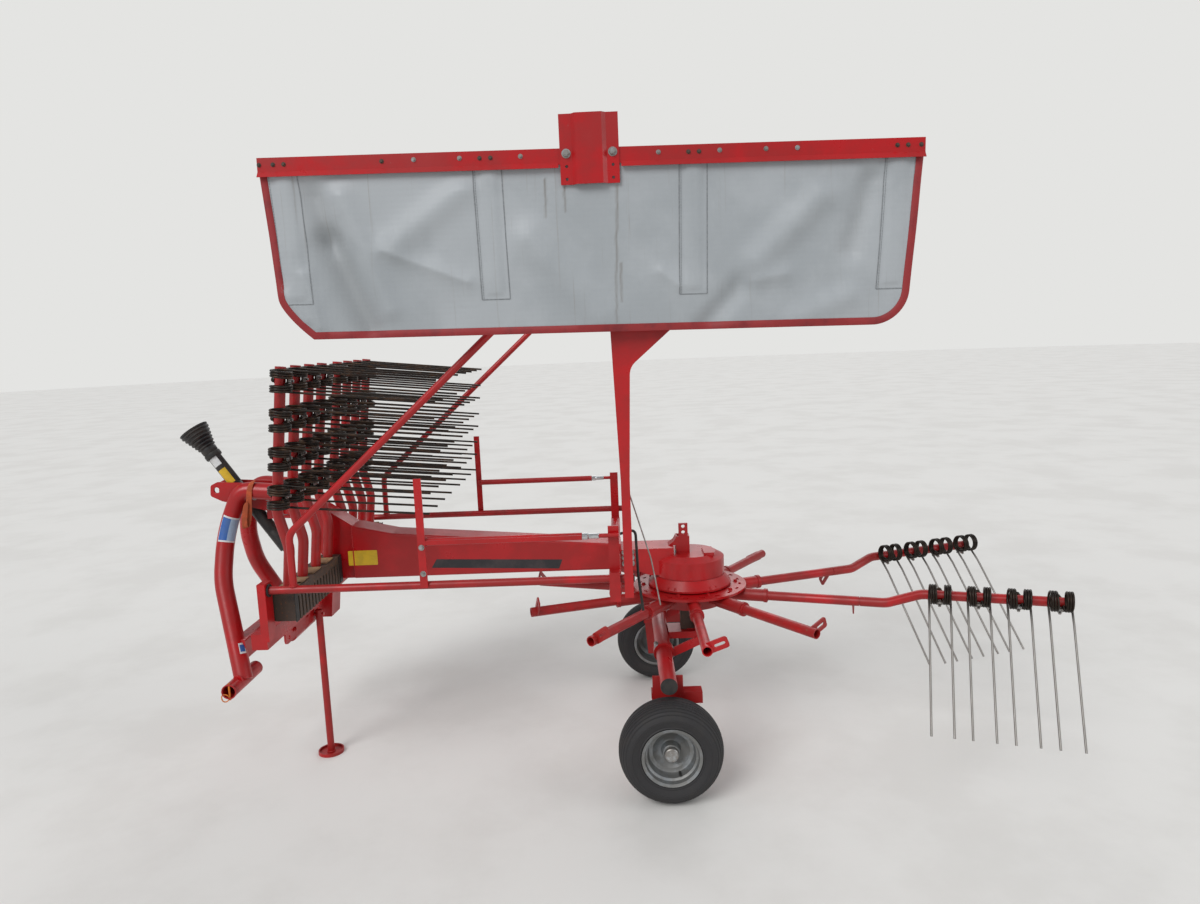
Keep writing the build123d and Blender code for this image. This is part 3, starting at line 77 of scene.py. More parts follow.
# The stored arms lean to the rear, on a sleeve above the rack
RACK_LEAN = radians(6.7)
RACK_SLEEVE = 0.045
COIL_Y, COIL_Z = -0.0565, -0.0267
X, Y, Z = Vector((1, 0, 0)), Vector((0, 1, 0)), Vector((0, 0, 1))
SIDES = (("left", -1), ("right", 1))


class RakeSizes(bpy.types.PropertyGroup):
    """Sizes of the pieces that dress the frame."""

    wire: bpy.props.FloatProperty(name="Tine wire", description="Diameter of the spring wire", default=0.009,
                                  unit="LENGTH")
    coil: bpy.props.FloatProperty(name="Coil", description="Outer diameter of a tine's coil", default=0.083,
                                  unit="LENGTH")
    turns: bpy.props.FloatProperty(name="Turns", description="Turns in one coil", default=3.0)
    tine: bpy.props.FloatProperty(name="Tine length", description="From the coil to the tip", default=0.549,
                                  unit="LENGTH")
    knee: bpy.props.FloatProperty(name="Knee", description="From the coil to the knee", default=0.078, unit="LENGTH")
    knee_angle: bpy.props.FloatProperty(name="Knee angle", description="Bend of the leg", default=radians(9),
                                        subtype="ANGLE")
    stitch: bpy.props.FloatProperty(name="Stitch", description="Pitch of the curtain's seams", default=0.009,
                                    unit="LENGTH")
    ripple: bpy.props.FloatProperty(name="Weld ripple", description="Pitch of a weld's ripples", default=0.005,
                                    unit="LENGTH")
    slack: bpy.props.FloatProperty(name="Curtain slack", description="Depth of its small ripples", default=0.010,
                                   unit="LENGTH")


class RakeColours(bpy.types.PropertyGroup):
    """Colours of the finishes, as written in sRGB."""

    enamel: bpy.props.StringProperty(name="Enamel", description="Red machine enamel", default="#B10A12")
    cloth: bpy.props.StringProperty(name="Cloth", description="Coated curtain cloth", default="#A6ABAF")
    binding: bpy.props.StringProperty(name="Binding", description="Bound edge of the curtain", default="#7A1C22")
    spring: bpy.props.StringProperty(name="Spring", description="Stored spring steel", default="#2A2420")
    rubber: bpy.props.StringProperty(name="Rubber", description="Tyre rubber", default="#262527")
    rim: bpy.props.StringProperty(name="Rim", description="Galvanised wheel rim", default="#93979A")
    strap: bpy.props.StringProperty(name="Strap", description="Webbing of the shaft strap", default="#C2552C")
    floor: bpy.props.StringProperty(name="Floor", description="Studio floor", default="#DFDEDB")


def linear(colour):
    """sRGB hex as linear RGBA."""
    steps = [int(colour[i : i + 2], 16) / 255 for i in (1, 3, 5)]
    return (*[s / 12.92 if s <= 0.04045 else ((s + 0.055) / 1.055) ** 2.4 for s in steps], 1)


def add_node(tree, kind, settings=None, feeds=None):
    """Adds a node, sets its properties, and gives its inputs values or other nodes' outputs."""
    made = tree.nodes.new(kind)
    for name, value in (settings or {}).items():
        setattr(made, name, value)
    for name, value in (feeds or {}).items():
        if isinstance(value, bpy.types.NodeSocket):
            tree.links.new(value, made.inputs[name])
        else:
            made.inputs[name].default_value = value
    return made


def blend(tree, amount, low, high):
    """A colour between two, by an amount from 0 to 1."""
    return add_node(tree, "ShaderNodeMix", {"data_type": "RGBA"}, {0: amount, 6: low, 7: high}).outputs[2]


def finish(name, base, stain, stain_mm, stain_reach, rough, rough_reach=0.12, metal=0.0, grain=(2.0, 0.1), chip=None,
           low_dirt=0.0):
    """A surface with a stain over its base colour, chips, uneven gloss and a fine grain.

    Sizes are in millimetres: the stain's, the grain's width and depth, and the chips' colour, width and share."""
    material = bpy.data.materials.new(name)
    material.use_nodes = True
    tree = material.node_tree
    shader = tree.nodes["Principled BSDF"]
    shader.inputs["Metallic"].default_value = metal
    place = add_node(tree, "ShaderNodeTexCoord").outputs["Object"]
    cloud = add_node(tree, "ShaderNodeTexNoise", None,
                     {"Vector": place, "Scale": 1000 / stain_mm, "Detail": 6.0, "Roughness": 0.62})
    reach = add_node(tree, "ShaderNodeMapRange", {"interpolation_type": "SMOOTHSTEP"},
                     {"Value": cloud.outputs["Fac"], "From Min": 0.62 - stain_reach * 0.5,
                      "From Max": 0.62 - stain_reach * 0.5 + 0.22})
    amount = reach.outputs["Result"]
    if low_dirt:
        height = add_node(tree, "ShaderNodeSeparateXYZ", None, {"Vector": place}).outputs["Z"]
        mud = add_node(tree, "ShaderNodeMapRange", None,
                       {"Value": height, "From Min": 0.55, "From Max": 0.0, "To Max": low_dirt})
        amount = add_node(tree, "ShaderNodeMath", {"operation": "MULTIPLY_ADD", "use_clamp": True},
                          {0: mud.outputs["Result"], 1: cloud.outputs["Fac"], 2: amount}).outputs[0]
    amount = add_node(tree, "ShaderNodeMath", {"operation": "MULTIPLY"}, {0: amount, 1: stain_reach}).outputs[0]
    colour = blend(tree, amount, linear(base), linear(stain))
    gloss = add_node(tree, "ShaderNodeMapRange", None,
                     {"Value": cloud.outputs["Fac"], "From Min": 0.35, "From Max": 0.7, "To Min": rough,
                      "To Max": rough + rough_reach})
    gloss = gloss.outputs["Result"]
    if chip:
        chip_colour, chip_mm, chip_share = chip
        flake = add_node(tree, "ShaderNodeTexNoise", None,
                         {"Vector": place, "Scale": 1000 / chip_mm, "Detail": 3.0, "Roughness": 0.7})
        edge = 0.78 - 0.18 * chip_share
        bare = add_node(tree, "ShaderNodeMapRange", None,
                        {"Value": flake.outputs["Fac"], "From Min": edge, "From Max": edge + 0.02})
        bare = bare.outputs["Result"]
        colour = blend(tree, bare, colour, linear(chip_colour))
        gloss = add_node(tree, "ShaderNodeMath", {"operation": "MULTIPLY_ADD", "use_clamp": True},
                         {0: bare, 1: 0.3, 2: gloss}).outputs[0]
    grain_mm, grain_deep = grain
    relief = add_node(tree, "ShaderNodeTexNoise", None, {"Vector": place, "Scale": 1000 / grain_mm, "Detail": 2.0})
    bump = add_node(tree, "ShaderNodeBump", None,
                    {"Height": relief.outputs["Fac"], "Distance": grain_deep / 1000, "Strength": 1.0})
    tree.links.new(colour, shader.inputs["Base Color"])
    tree.links.new(gloss, shader.inputs["Roughness"])
    tree.links.new(bump.outputs["Normal"], shader.inputs["Normal"])
    return material


def make_finishes(colours):
    """Every finish of the machine, by its plain name."""
    return {
        # Baked red enamel on steel: bright and glossy, dulled in clouds by dust, with small chips down to grey primer
        "enamel": finish("gloss_red_enamel", colours.enamel, "#861614", 210, 0.5, 0.26, 0.2, grain=(28, 0.25),
                         chip=("#8E8480", 15, 0.2), low_dirt=0.25),
        # The same enamel where arms and guards rub: more chips, rust brown in them
        "worn_enamel": finish("worn_red_enamel", colours.enamel, "#7A1B16", 120, 0.6, 0.32, 0.22, grain=(20, 0.25),
                              chip=("#7A4A36", 12, 0.6), low_dirt=0.4),
        # Thin dark paint over hot-rolled plate, gone brown and dusty
        "dark_plate": finish("weathered_dark_plate", "#2E2A28", "#54453A", 70, 0.7, 0.6, 0.2, grain=(5, 0.3),
                             chip=("#8A5A3C", 9, 0.8)),
        # Oil-quenched spring steel, stored: brown-black with a satin shine; the copper patches of its stain are
        # painted highlights, standing in for warm glints on the coils
        "spring": finish("oil_quenched_steel_painted_highlights", colours.spring, "#6A4A2E", 45, 0.35, 0.3, 0.18, metal=0.6,
                         grain=(3, 0.08)),
        "worn_spring": worn_spring_finish(colours.spring),
        # Bright zinc plate on fasteners: pale grey with a soft shine
        "zinc": finish("bright_zinc_plate", "#B9BCBE", "#7C6F60", 24, 0.6, 0.3, 0.2, metal=0.9, grain=(4, 0.05)),
        # Hot-dip galvanised rim: matt grey with faint spangle and dust in the well
        "galvanised": finish("galvanised_rim", colours.rim, "#6F6A62", 55, 0.55, 0.42, 0.2, metal=0.7,
                             grain=(9, 0.12), low_dirt=0.15),
        # Hard chrome on rods and the hub cap
        "chrome": finish("hard_chrome", "#D2D4D6", "#8D8C8A", 40, 0.4, 0.1, 0.12, metal=1.0, grain=(20, 0.02)),
        # Carbon-black tyre rubber: matt, grey with road dust low down and in the grooves
        "tyre": finish("road_dusted_tyre_rubber", colours.rubber, "#3B3733", 75, 0.35, 0.62, 0.15, grain=(1.6, 0.25),
                       low_dirt=0.3),
        # The same rubber on the tread: paler, greyed by dust and worn by the road
        "tread": finish("dusty_tread_rubber", "#4C4744", "#6B6258", 60, 0.6, 0.82, 0.1, grain=(1.6, 0.3),
                        low_dirt=0.2),
        # Blow-moulded polyethylene guard: black, soft sheen
        "guard": finish("black_polyethylene", "#1B1B1D", "#4A433D", 60, 0.45, 0.42, 0.15, grain=(3, 0.08)),
        # Nylon bearings and caps
        "nylon": finish("black_nylon", "#151516", "#38332E", 30, 0.5, 0.5, 0.15, grain=(2, 0.06)),
        # Polyester strap, sun-faded orange, two-over-two weave drawn as a 3 mm grain so that it shows
        "strap": finish("faded_polyester_webbing", colours.strap, "#7C4027", 30, 0.6, 0.8, 0.1, grain=(3, 0.6)),
        # Rack lid: weathered plate with dried mud
        "lid": finish("mud_dried_plate", "#A3835F", "#6B5340", 45, 0.6, 0.8, 0.12, grain=(4, 0.8),
                      chip=("#B08A64", 22, 0.9)),
        # Glossy vinyl plates and labels, left blank, dulled a little by dust
        "yellow_plate": finish("blank_yellow_vinyl", "#D9B324", "#9C7F2C", 60, 0.35, 0.35, 0.1, grain=(12, 0.05)),
        "white_plate": finish("blank_white_vinyl", "#D8DADB", "#A39C94", 40, 0.35, 0.35, 0.1, grain=(12, 0.05)),
        "pale_plate": finish("blank_pale_blue_vinyl", "#9DB4CE", "#8492A3", 40, 0.35, 0.35, 0.1, grain=(12, 0.05)),
        "blue_plate": finish("blank_blue_vinyl", "#2F5FA8", "#5A6F8C", 40, 0.35, 0.35, 0.1, grain=(12, 0.05)),
        "black_stripe": finish("black_vinyl_stripe", "#232226", "#57494A", 90, 0.35, 0.32, 0.1, grain=(12, 0.05)),
        # Coated tape sewn round the curtain's edge, darkened by mud
        "binding": finish("coated_binding_tape", colours.binding, "#9C2A2C", 80, 0.6, 0.55, 0.15, grain=(3, 0.3)),
        # The folded edge of the tape: the same tape in a brighter red, a painted highlight along the fold
        "binding_edge_highlight": finish("tape_edge_painted_highlight", "#B3121B", "#8E2226", 60, 0.4, 0.42, 0.12, grain=(3, 0.1)),
        # Thick grey thread of the seams
        "thread": finish("grey_polyester_thread", "#8B8F92", "#6C6F72", 8, 0.5, 0.7, 0.1, grain=(1.5, 0.1)),
        # Linch pins: orange powder coat, rubbed where they turn
        "orange": finish("orange_powder_coat", "#D9761E", "#8C5426", 18, 0.5, 0.45, 0.15, grain=(4, 0.1)),
        "cloth": cloth_finish(colours.cloth),
    }


def worn_spring_finish(colour):
    """The same wire in use: its coils stay black, its legs are polished grey by the crop from the coil on."""
    material = finish("crop_polished_spring_steel", colour, "#33291F", 60, 0.5, 0.34, 0.15, metal=0.75,
                      grain=(4, 0.06))
    tree = material.node_tree
    shader = tree.nodes["Principled BSDF"]
    base = shader.inputs["Base Color"].links[0].from_socket
    leg = add_node(tree, "ShaderNodeAttribute", {"attribute_name": "leg"}).outputs["Fac"]
    tree.links.new(blend(tree, leg, base, linear("#8A8783")), shader.inputs["Base Color"])
    return material


def cloth_finish(colour):
    """PVC-coated polyester: satin grey with its weave showing through, and thin rain streaks that run down."""
    material = finish("coated_polyester_cloth", colour, "#8E9498", 520, 0.5, 0.5, 0.12, grain=(2.2, 0.05))
    tree = material.node_tree
    shader = tree.nodes["Principled BSDF"]
    place = next(n for n in tree.nodes if n.type == "TEX_COORD").outputs["Object"]
    # Rain streaks: 9 mm wide, half a metre long
    long = add_node(tree, "ShaderNodeMapping", None, {"Vector": place, "Scale": (110, 1, 2)}).outputs["Vector"]
    rain = add_node(tree, "ShaderNodeTexNoise", None, {"Vector": long, "Scale": 1.0, "Detail": 3.0, "Roughness": 0.7})
    seen = add_node(tree, "ShaderNodeMapRange", None, {"Value": rain.outputs["Fac"], "From Min": 0.62,
                                                       "From Max": 0.74, "To Max": 0.32})
    base = shader.inputs["Base Color"].links[0].from_socket
    tone = blend(tree, seen.outputs["Result"], base, linear("#7D756A"))
    # Painted shade in the valleys of the folds and the single long rain streaks lie in the cloth's own attribute,
    # both drawn in one grey-brown
    streaks_and_valley_shade = add_node(tree, "ShaderNodeAttribute", {"attribute_name": "streaks_and_valley_shade"}).outputs["Fac"]
    tone = blend(tree, streaks_and_valley_shade, tone, linear("#6B645A"))
    # Weave of 1.2 mm threads, drawn at 3 mm so that it shows
    weave = []
    for direction in ("X", "Z"):
        threads = add_node(tree, "ShaderNodeTexWave", {"bands_direction": direction},
                           {"Vector": place, "Scale": 1000 / 3 / 20})
        weave.append(threads.outputs["Fac"])
    both = add_node(tree, "ShaderNodeMath", {"operation": "ADD"}, {0: weave[0], 1: weave[1]})
    bump = next(n for n in tree.nodes if n.type == "BUMP")
    raised = add_node(tree, "ShaderNodeBump", None, {"Height": both.outputs[0], "Distance": 0.00015,
                                                     "Normal": bump.outputs["Normal"]})
    tree.links.new(tone, shader.inputs["Base Color"])
    tree.links.new(raised.outputs["Normal"], shader.inputs["Normal"])
    shader.inputs["Sheen Weight"].default_value = 0.1
    return material


FINISHES = {}


def finish_of(name):
    """A finish by its plain name; they are all made when the first is asked for."""
    if not FINISHES:
        FINISHES.update(make_finishes(bpy.context.scene.rake_colours))
    return FINISHES[name]


def keep(name, mesh, body, finish_name, smooth=30):
    """Links a mesh as a finished piece that rides on a body."""
    piece = bpy.data.objects.new(name, mesh)
    bpy.context.scene.collection.objects.link(piece)
    if finish_name:
        mesh.materials.clear()
        mesh.materials.append(finish_of(finish_name))
    if smooth:
        mesh.polygons.foreach_set("use_smooth", [True] * len(mesh.polygons))
        mesh.set_sharp_from_angle(angle=radians(smooth))
    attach(piece, body)
    return piece


def keep_bmesh(name, bm, body, finish_name, smooth=30):
    """Ends a bmesh, with its normals outward, as a finished piece."""
    bmesh.ops.recalc_face_normals(bm, faces=bm.faces)
    mesh = bpy.data.meshes.new(name)
    bm.to_mesh(mesh)
    bm.free()
    return keep(name, mesh, body, finish_name, smooth)


def basis(origin, along, up=Z):
    """Matrix with its z along one direction and its x near the other's side."""
    along = along.normalized()
    side = up.cross(along)
    side = side.normalized() if side.length > 1e-4 else along.orthogonal().normalized()
    return Matrix.Translation(ZERO + origin) @ Matrix((side, along.cross(side), along)).transposed().to_4x4()


def lathe(bm, profile, place, steps=32):
    """Turns a profile of (radius, height) about the z of a place; a radius of 0 closes it."""
    rings = []
    for radius, height in profile:
        if radius < 1e-6:
            rings.append([bm.verts.new(place @ Vector((0, 0, height)))])
        else:
            turn = [2 * pi * i / steps for i in range(steps)]
            rings.append([bm.verts.new(place @ Vector((radius * cos(a), radius * sin(a), height))) for a in turn])
    for low, high in zip(rings, rings[1:]):
        for i in range(steps):
            j = (i + 1) % steps
            corners = [low[i % len(low)], low[j % len(low)], high[j % len(high)], high[i % len(high)]]
            corners = list(dict.fromkeys(corners))
            if len(corners) > 2:
                bm.faces.new(corners)


def lathed(name, profile, place, steps, body, finish_name, smooth=30):
    """A turned piece of its own; the profile may end where it begins."""
    bm = bmesh.new()
    lathe(bm, profile, place, steps)
    bmesh.ops.remove_doubles(bm, verts=bm.verts, dist=1e-6)
    return keep_bmesh(name, bm, body, finish_name, smooth)


def skin(bm, low, high):
    """Faces between two rings of as many corners."""
    for k in range(len(low)):
        after = (k + 1) % len(low)
        bm.faces.new((low[k], low[after], high[after], high[k]))


def rod(bm, points, radius, sides=12, turn=None):
    """A closed round bar through a few points; turn, a start and an end angle
    from the left side, makes a thin patch on it instead."""
    points = [Vector(p) for p in points]
    rings, side = [], None
    first, last = turn or (0.0, 2 * pi)
    for i, point in enumerate(points):
        before = (point - points[i - 1]).normalized() if i else None
        after = (points[i + 1] - point).normalized() if i + 1 < len(points) else None
        along = (before + after).normalized() if before and after else before or after
        # The cross direction is carried on from ring to ring, so that the bar doesn't twist
        side = side or (-Y if turn else along.cross(Z if abs(along.z) < 0.9 else X))
        side = (side - along * side.dot(along)).normalized()
        other = along.cross(side)
        count = sides + 1 if turn else sides
        angles = [first + (last - first) * k / sides for k in range(count)]
        rings.append([bm.verts.new(ZERO + point + (side * cos(a) + other * sin(a)) * radius) for a in angles])
    for low, high in zip(rings, rings[1:]):
        for k in range(sides):
            bm.faces.new((low[k], low[(k + 1) % count], high[(k + 1) % count], high[k]))
    if not turn:
        bm.faces.new(rings[0])
        bm.faces.new(rings[-1])


def bent(corners, steps=8):
    """Points of a path whose corners are rounded: corners as a point and its radius, the ends with none."""
    points = [Vector(corners[0][0])]
    for (before, _), (corner, radius), (after, _) in zip(corners, corners[1:], corners[2:]):
        back, on = (Vector(before) - Vector(corner)).normalized(), (Vector(after) - Vector(corner)).normalized()
        half = back.angle(on) / 2
        start, end = Vector(corner) + back * (radius / tan(half)), Vector(corner) + on * (radius / tan(half))
        for k in range(steps + 1):
            t = k / steps
            points.append(start * (1 - t) ** 2 + Vector(corner) * (2 * t * (1 - t)) + end * t**2)
    return points + [Vector(corners[-1][0])]


def slab(bm, outline, place, thick, edge=0.0):
    """A plate from an outline in the xy of a place, thick along its z, with its edges rounded."""
    made = bmesh.new()
    low = [made.verts.new(place @ Vector((x, y, 0))) for x, y in outline]
    high = [made.verts.new(place @ Vector((x, y, thick))) for x, y in outline]
    count = len(outline)
    made.faces.new(low)
    made.faces.new(high)
    for i in range(count):
        made.faces.new((low[i], low[(i + 1) % count], high[(i + 1) % count], high[i]))
    if edge:
        bmesh.ops.bevel(made, geom=made.edges[:], offset=edge, segments=2, affect="EDGES", clamp_overlap=True)
    mesh = bpy.data.meshes.new("plate")
    made.to_mesh(mesh)
    made.free()
    bm.from_mesh(mesh)
    bpy.data.meshes.remove(mesh)


def rectangle(wide, high, corner=0.0):
    """Outline of a rectangle about zero, its corners rounded in three steps."""
    if not corner:
        return [(-wide / 2, -high / 2), (wide / 2, -high / 2), (wide / 2, high / 2), (-wide / 2, high / 2)]
    points = []
    for sx, sy, start in ((1, 1, 0), (-1, 1, 90), (-1, -1, 180), (1, -1, 270)):
        for step in range(4):
            angle = radians(start + 30 * step)
            points.append((sx * (wide / 2 - corner) + corner * cos(angle),
                           sy * (high / 2 - corner) + corner * sin(angle)))
    return points


def new_tree(name, inputs):
    """A geometry tree with a geometry in and out and named inputs: name, socket kind, default."""
    tree = bpy.data.node_groups.new(name, "GeometryNodeTree")
    tree.interface.new_socket("Geometry", in_out="INPUT", socket_type="NodeSocketGeometry")
    for label, kind, default in inputs:
        socket = tree.interface.new_socket(label, in_out="INPUT", socket_type=kind)
        if default is not None:
            socket.default_value = default
    tree.interface.new_socket("Geometry", in_out="OUTPUT", socket_type="NodeSocketGeometry")
    return tree, tree.nodes.new("NodeGroupInput").outputs, tree.nodes.new("NodeGroupOutput").inputs


def close_tree(tree, shape, points, turn, scale, finish_socket, out):
    """Puts a shape on points, makes it real and gives it its finish."""
    set_on = add_node(tree, "GeometryNodeInstanceOnPoints", None,
                      {"Points": points, "Instance": shape, "Rotation": turn, "Scale": scale})
    real = add_node(tree, "GeometryNodeRealizeInstances", None, {"Geometry": set_on.outputs["Instances"]})
    painted = add_node(tree, "GeometryNodeSetMaterial", None,
                       {"Geometry": real.outputs["Geometry"], "Material": finish_socket})
    tree.links.new(painted.outputs["Geometry"], out["Geometry"])


def grow(name, tree, points, body, finish_name, inputs=None, smooth=40):
    """Runs a tree on points (place, turn as a quaternion, size) or on a ready mesh, and keeps the plain mesh."""
    if isinstance(points, bpy.types.Mesh):
        seed = points
    else:
        seed = bpy.data.meshes.new(name + "_points")
        seed.from_pydata([ZERO + Vector(p[0]) for p in points], [], [])
        turns = seed.attributes.new("turn", "QUATERNION", "POINT")
        turns.data.foreach_set("value", [part for p in points for part in p[1]])
        sizes = seed.attributes.new("size", "FLOAT", "POINT")
        sizes.data.foreach_set("value", [p[2] for p in points])
    holder = bpy.data.objects.new(name + "_seed", seed)
    bpy.context.scene.collection.objects.link(holder)
    modifier = holder.modifiers.new("grow", "NODES")
    modifier.node_group = tree
    given = dict(inputs or {}, Finish=finish_of(finish_name))
    for item in tree.interface.items_tree:
        if item.item_type == "SOCKET" and item.in_out == "INPUT" and item.name in given:
            modifier[item.identifier] = given[item.name]
    graph = bpy.context.evaluated_depsgraph_get()
    graph.update()
    mesh = bpy.data.meshes.new_from_object(holder.evaluated_get(graph), depsgraph=graph)
    mesh.name = name
    bpy.data.objects.remove(holder)
    if not mesh.polygons:
        raise RuntimeError(f"{name}: the tree gave no faces")
    return keep(name, mesh, body, None, smooth)


def attribute(tree, name, kind):
    """Output of a named attribute of the points."""
    node = add_node(tree, "GeometryNodeInputNamedAttribute", {"data_type": kind}, {"Name": name})
    return node.outputs["Attribute"]


def double_tine_tree():
    """One double spring tine: a loop round its bolt, two coils beside the arm and two legs with a knee.
    Its x runs along the arm and its legs point to -z."""
    tree, given, out = new_tree("double_spring_tine", [
        ("Wire", "NodeSocketFloat", 0.009), ("Coil", "NodeSocketFloat", 0.083), ("Turns", "NodeSocketFloat", 4.0),
        ("Inner", "NodeSocketFloat", 0.0130), ("Coil Y", "NodeSocketFloat", -0.0565),
        ("Coil Z", "NodeSocketFloat", -0.0267), ("Loop", "NodeSocketFloat", 0.0105),
        ("Arm", "NodeSocketFloat", 0.020), ("Leg", "NodeSocketFloat", 0.548), ("Knee", "NodeSocketFloat", 0.078),
        ("Knee Angle", "NodeSocketFloat", radians(9)), ("Finish", "NodeSocketMaterial", None)])

    def math(operation, a, b=0.0, c=0.0, clamp=False):
        return add_node(tree, "ShaderNodeMath", {"operation": operation, "use_clamp": clamp},
                        {0: a, 1: b, 2: c}).outputs[0]

    def part_of(start, steps):
        """How far the count has come from one step to another, 0 to 1."""
        return math("DIVIDE", math("SUBTRACT", index, float(start)), float(steps), clamp=True)

    loop_steps, lead_steps, coil_steps, leg_steps = 5, 4, 64, 14
    coil_start = loop_steps + lead_steps
    leg_start = coil_start + coil_steps
    line = add_node(tree, "GeometryNodeMeshLine", None, {"Count": leg_start + leg_steps + 1, "Offset": (0, 0, 0)})
    index = add_node(tree, "GeometryNodeInputIndex").outputs[0]
    # Loop: a quarter turn round the bolt, then a short run to the coil
    bend = math("MULTIPLY", part_of(0, loop_steps), pi / 2)
    run = part_of(loop_steps, lead_steps)
    loop_x = math("MULTIPLY_ADD", math("SINE", bend), given["Loop"], math("MULTIPLY", run, 0.003))
    loop_y = math("MULTIPLY_ADD", math("COSINE", bend), given["Loop"], math("MULTIPLY", run, -0.016))
    loop_z = math("MULTIPLY", math("MULTIPLY_ADD", given["Wire"], 0.5, given["Arm"]), -1.0)
    loop = add_node(tree, "ShaderNodeCombineXYZ", None, {0: loop_x, 1: loop_y, 2: loop_z})
    # Coil: closely wound, down on the side of the arm
    turned = math("MULTIPLY", part_of(coil_start, coil_steps), given["Turns"])
    angle = math("MULTIPLY", turned, -2 * pi)
    radius = math("MULTIPLY", math("SUBTRACT", given["Coil"], given["Wire"]), 0.5)
    coil_x = math("MULTIPLY_ADD", turned, math("MULTIPLY", given["Wire"], 1.02), given["Inner"])
    coil_y = math("MULTIPLY_ADD", math("COSINE", angle), radius, given["Coil Y"])
    coil_z = math("MULTIPLY_ADD", math("SINE", angle), radius, given["Coil Z"])
    # Leg: straight from the coil, then bent at the knee, eased over 30 mm
    gone = math("MULTIPLY", part_of(leg_start, leg_steps), given["Leg"])
    past = math("SMOOTH_MAX", math("SUBTRACT", gone, given["Knee"]), 0.0, 0.03)
    past = math("MULTIPLY", past, math("GREATER_THAN", gone, 0.001))
    coil_y = math("ADD", coil_y, math("MULTIPLY", past, math("SINE", given["Knee Angle"])))
    coil_z = math("SUBTRACT", coil_z, math("ADD", math("SUBTRACT", gone, past),
                                           math("MULTIPLY", past, math("COSINE", given["Knee Angle"]))))
    coil = add_node(tree, "ShaderNodeCombineXYZ", None, {0: coil_x, 1: coil_y, 2: coil_z})
    eased = add_node(tree, "ShaderNodeMapRange", {"interpolation_type": "SMOOTHSTEP"},
                     {"Value": index, "From Min": coil_start - 2.5, "From Max": coil_start + 2.0})
    where = add_node(tree, "ShaderNodeMix", {"data_type": "VECTOR"},
                     {0: eased.outputs["Result"], 4: loop.outputs[0], 5: coil.outputs[0]})
    moved = add_node(tree, "GeometryNodeSetPosition", None,
                     {"Geometry": line.outputs["Mesh"], "Position": where.outputs[1]})
    marked = add_node(tree, "GeometryNodeStoreNamedAttribute", {"data_type": "FLOAT", "domain": "POINT"},
                      {"Geometry": moved.outputs["Geometry"], "Name": "leg", "Value": part_of(leg_start, 2)})
    wire = add_node(tree, "GeometryNodeMeshToCurve", None, {"Mesh": marked.outputs["Geometry"]}).outputs["Curve"]
    other = add_node(tree, "GeometryNodeTransform", None, {"Geometry": wire, "Scale": (-1, 1, 1)}).outputs["Geometry"]
    both = add_node(tree, "GeometryNodeJoinGeometry")
    tree.links.new(wire, both.inputs[0])
    tree.links.new(other, both.inputs[0])
    round_bar = add_node(tree, "GeometryNodeCurvePrimitiveCircle", None,
                         {"Resolution": 7, "Radius": math("MULTIPLY", given["Wire"], 0.5)})
    tube = add_node(tree, "GeometryNodeCurveToMesh", None,
                    {"Curve": both.outputs[0], "Profile Curve": round_bar.outputs["Curve"], "Fill Caps": True})
    close_tree(tree, tube.outputs["Mesh"], given["Geometry"], attribute(tree, "turn", "QUATERNION"), (1, 1, 1),
               given["Finish"], out)
    return tree


def fastener_tree():
    """A hexagon head on a washer, with its z out of the surface; the size is the thread's diameter."""
    tree, given, out = new_tree("hexagon_bolt", [
        ("Head", "NodeSocketFloat", 0.85), ("Height", "NodeSocketFloat", 0.62), ("Washer", "NodeSocketFloat", 1.1),
        ("Tip", "NodeSocketFloat", 0.24), ("Finish", "NodeSocketMaterial", None)])
    washer = add_node(tree, "GeometryNodeMeshCylinder", None,
                      {"Vertices": 14, "Radius": given["Washer"], "Depth": 0.16})
    head = add_node(tree, "GeometryNodeMeshCone", None,
                    {"Vertices": 6, "Radius Top": 0.78, "Radius Bottom": given["Head"], "Depth": given["Height"]})
    stub = add_node(tree, "GeometryNodeMeshCylinder", None, {"Vertices": 8, "Radius": 0.5, "Depth": given["Tip"]})
    raised = add_node(tree, "ShaderNodeCombineXYZ", None, {2: 0.14})
    half = add_node(tree, "ShaderNodeMath", {"operation": "MULTIPLY_ADD"}, {0: given["Tip"], 1: 0.5, 2: 0.1})
    top = add_node(tree, "ShaderNodeMath", {"operation": "ADD"}, {0: given["Height"], 1: half.outputs[0]})
    peak = add_node(tree, "ShaderNodeCombineXYZ", None, {2: top.outputs[0]})
    low = add_node(tree, "GeometryNodeTransform", None,
                   {"Geometry": washer.outputs["Mesh"], "Translation": (0, 0, 0.07)})
    mid = add_node(tree, "GeometryNodeTransform", None,
                   {"Geometry": head.outputs["Mesh"], "Translation": raised.outputs[0]})
    tip = add_node(tree, "GeometryNodeTransform", None,
                   {"Geometry": stub.outputs["Mesh"], "Translation": peak.outputs[0]})
    whole = add_node(tree, "GeometryNodeJoinGeometry")
    for one in (low, mid, tip):
        tree.links.new(one.outputs["Geometry"], whole.inputs[0])
    size = attribute(tree, "size", "FLOAT")
    scale = add_node(tree, "ShaderNodeCombineXYZ", None, {0: size, 1: size, 2: size})
    close_tree(tree, whole.outputs[0], given["Geometry"], attribute(tree, "turn", "QUATERNION"), scale.outputs[0],
               given["Finish"], out)
    return tree


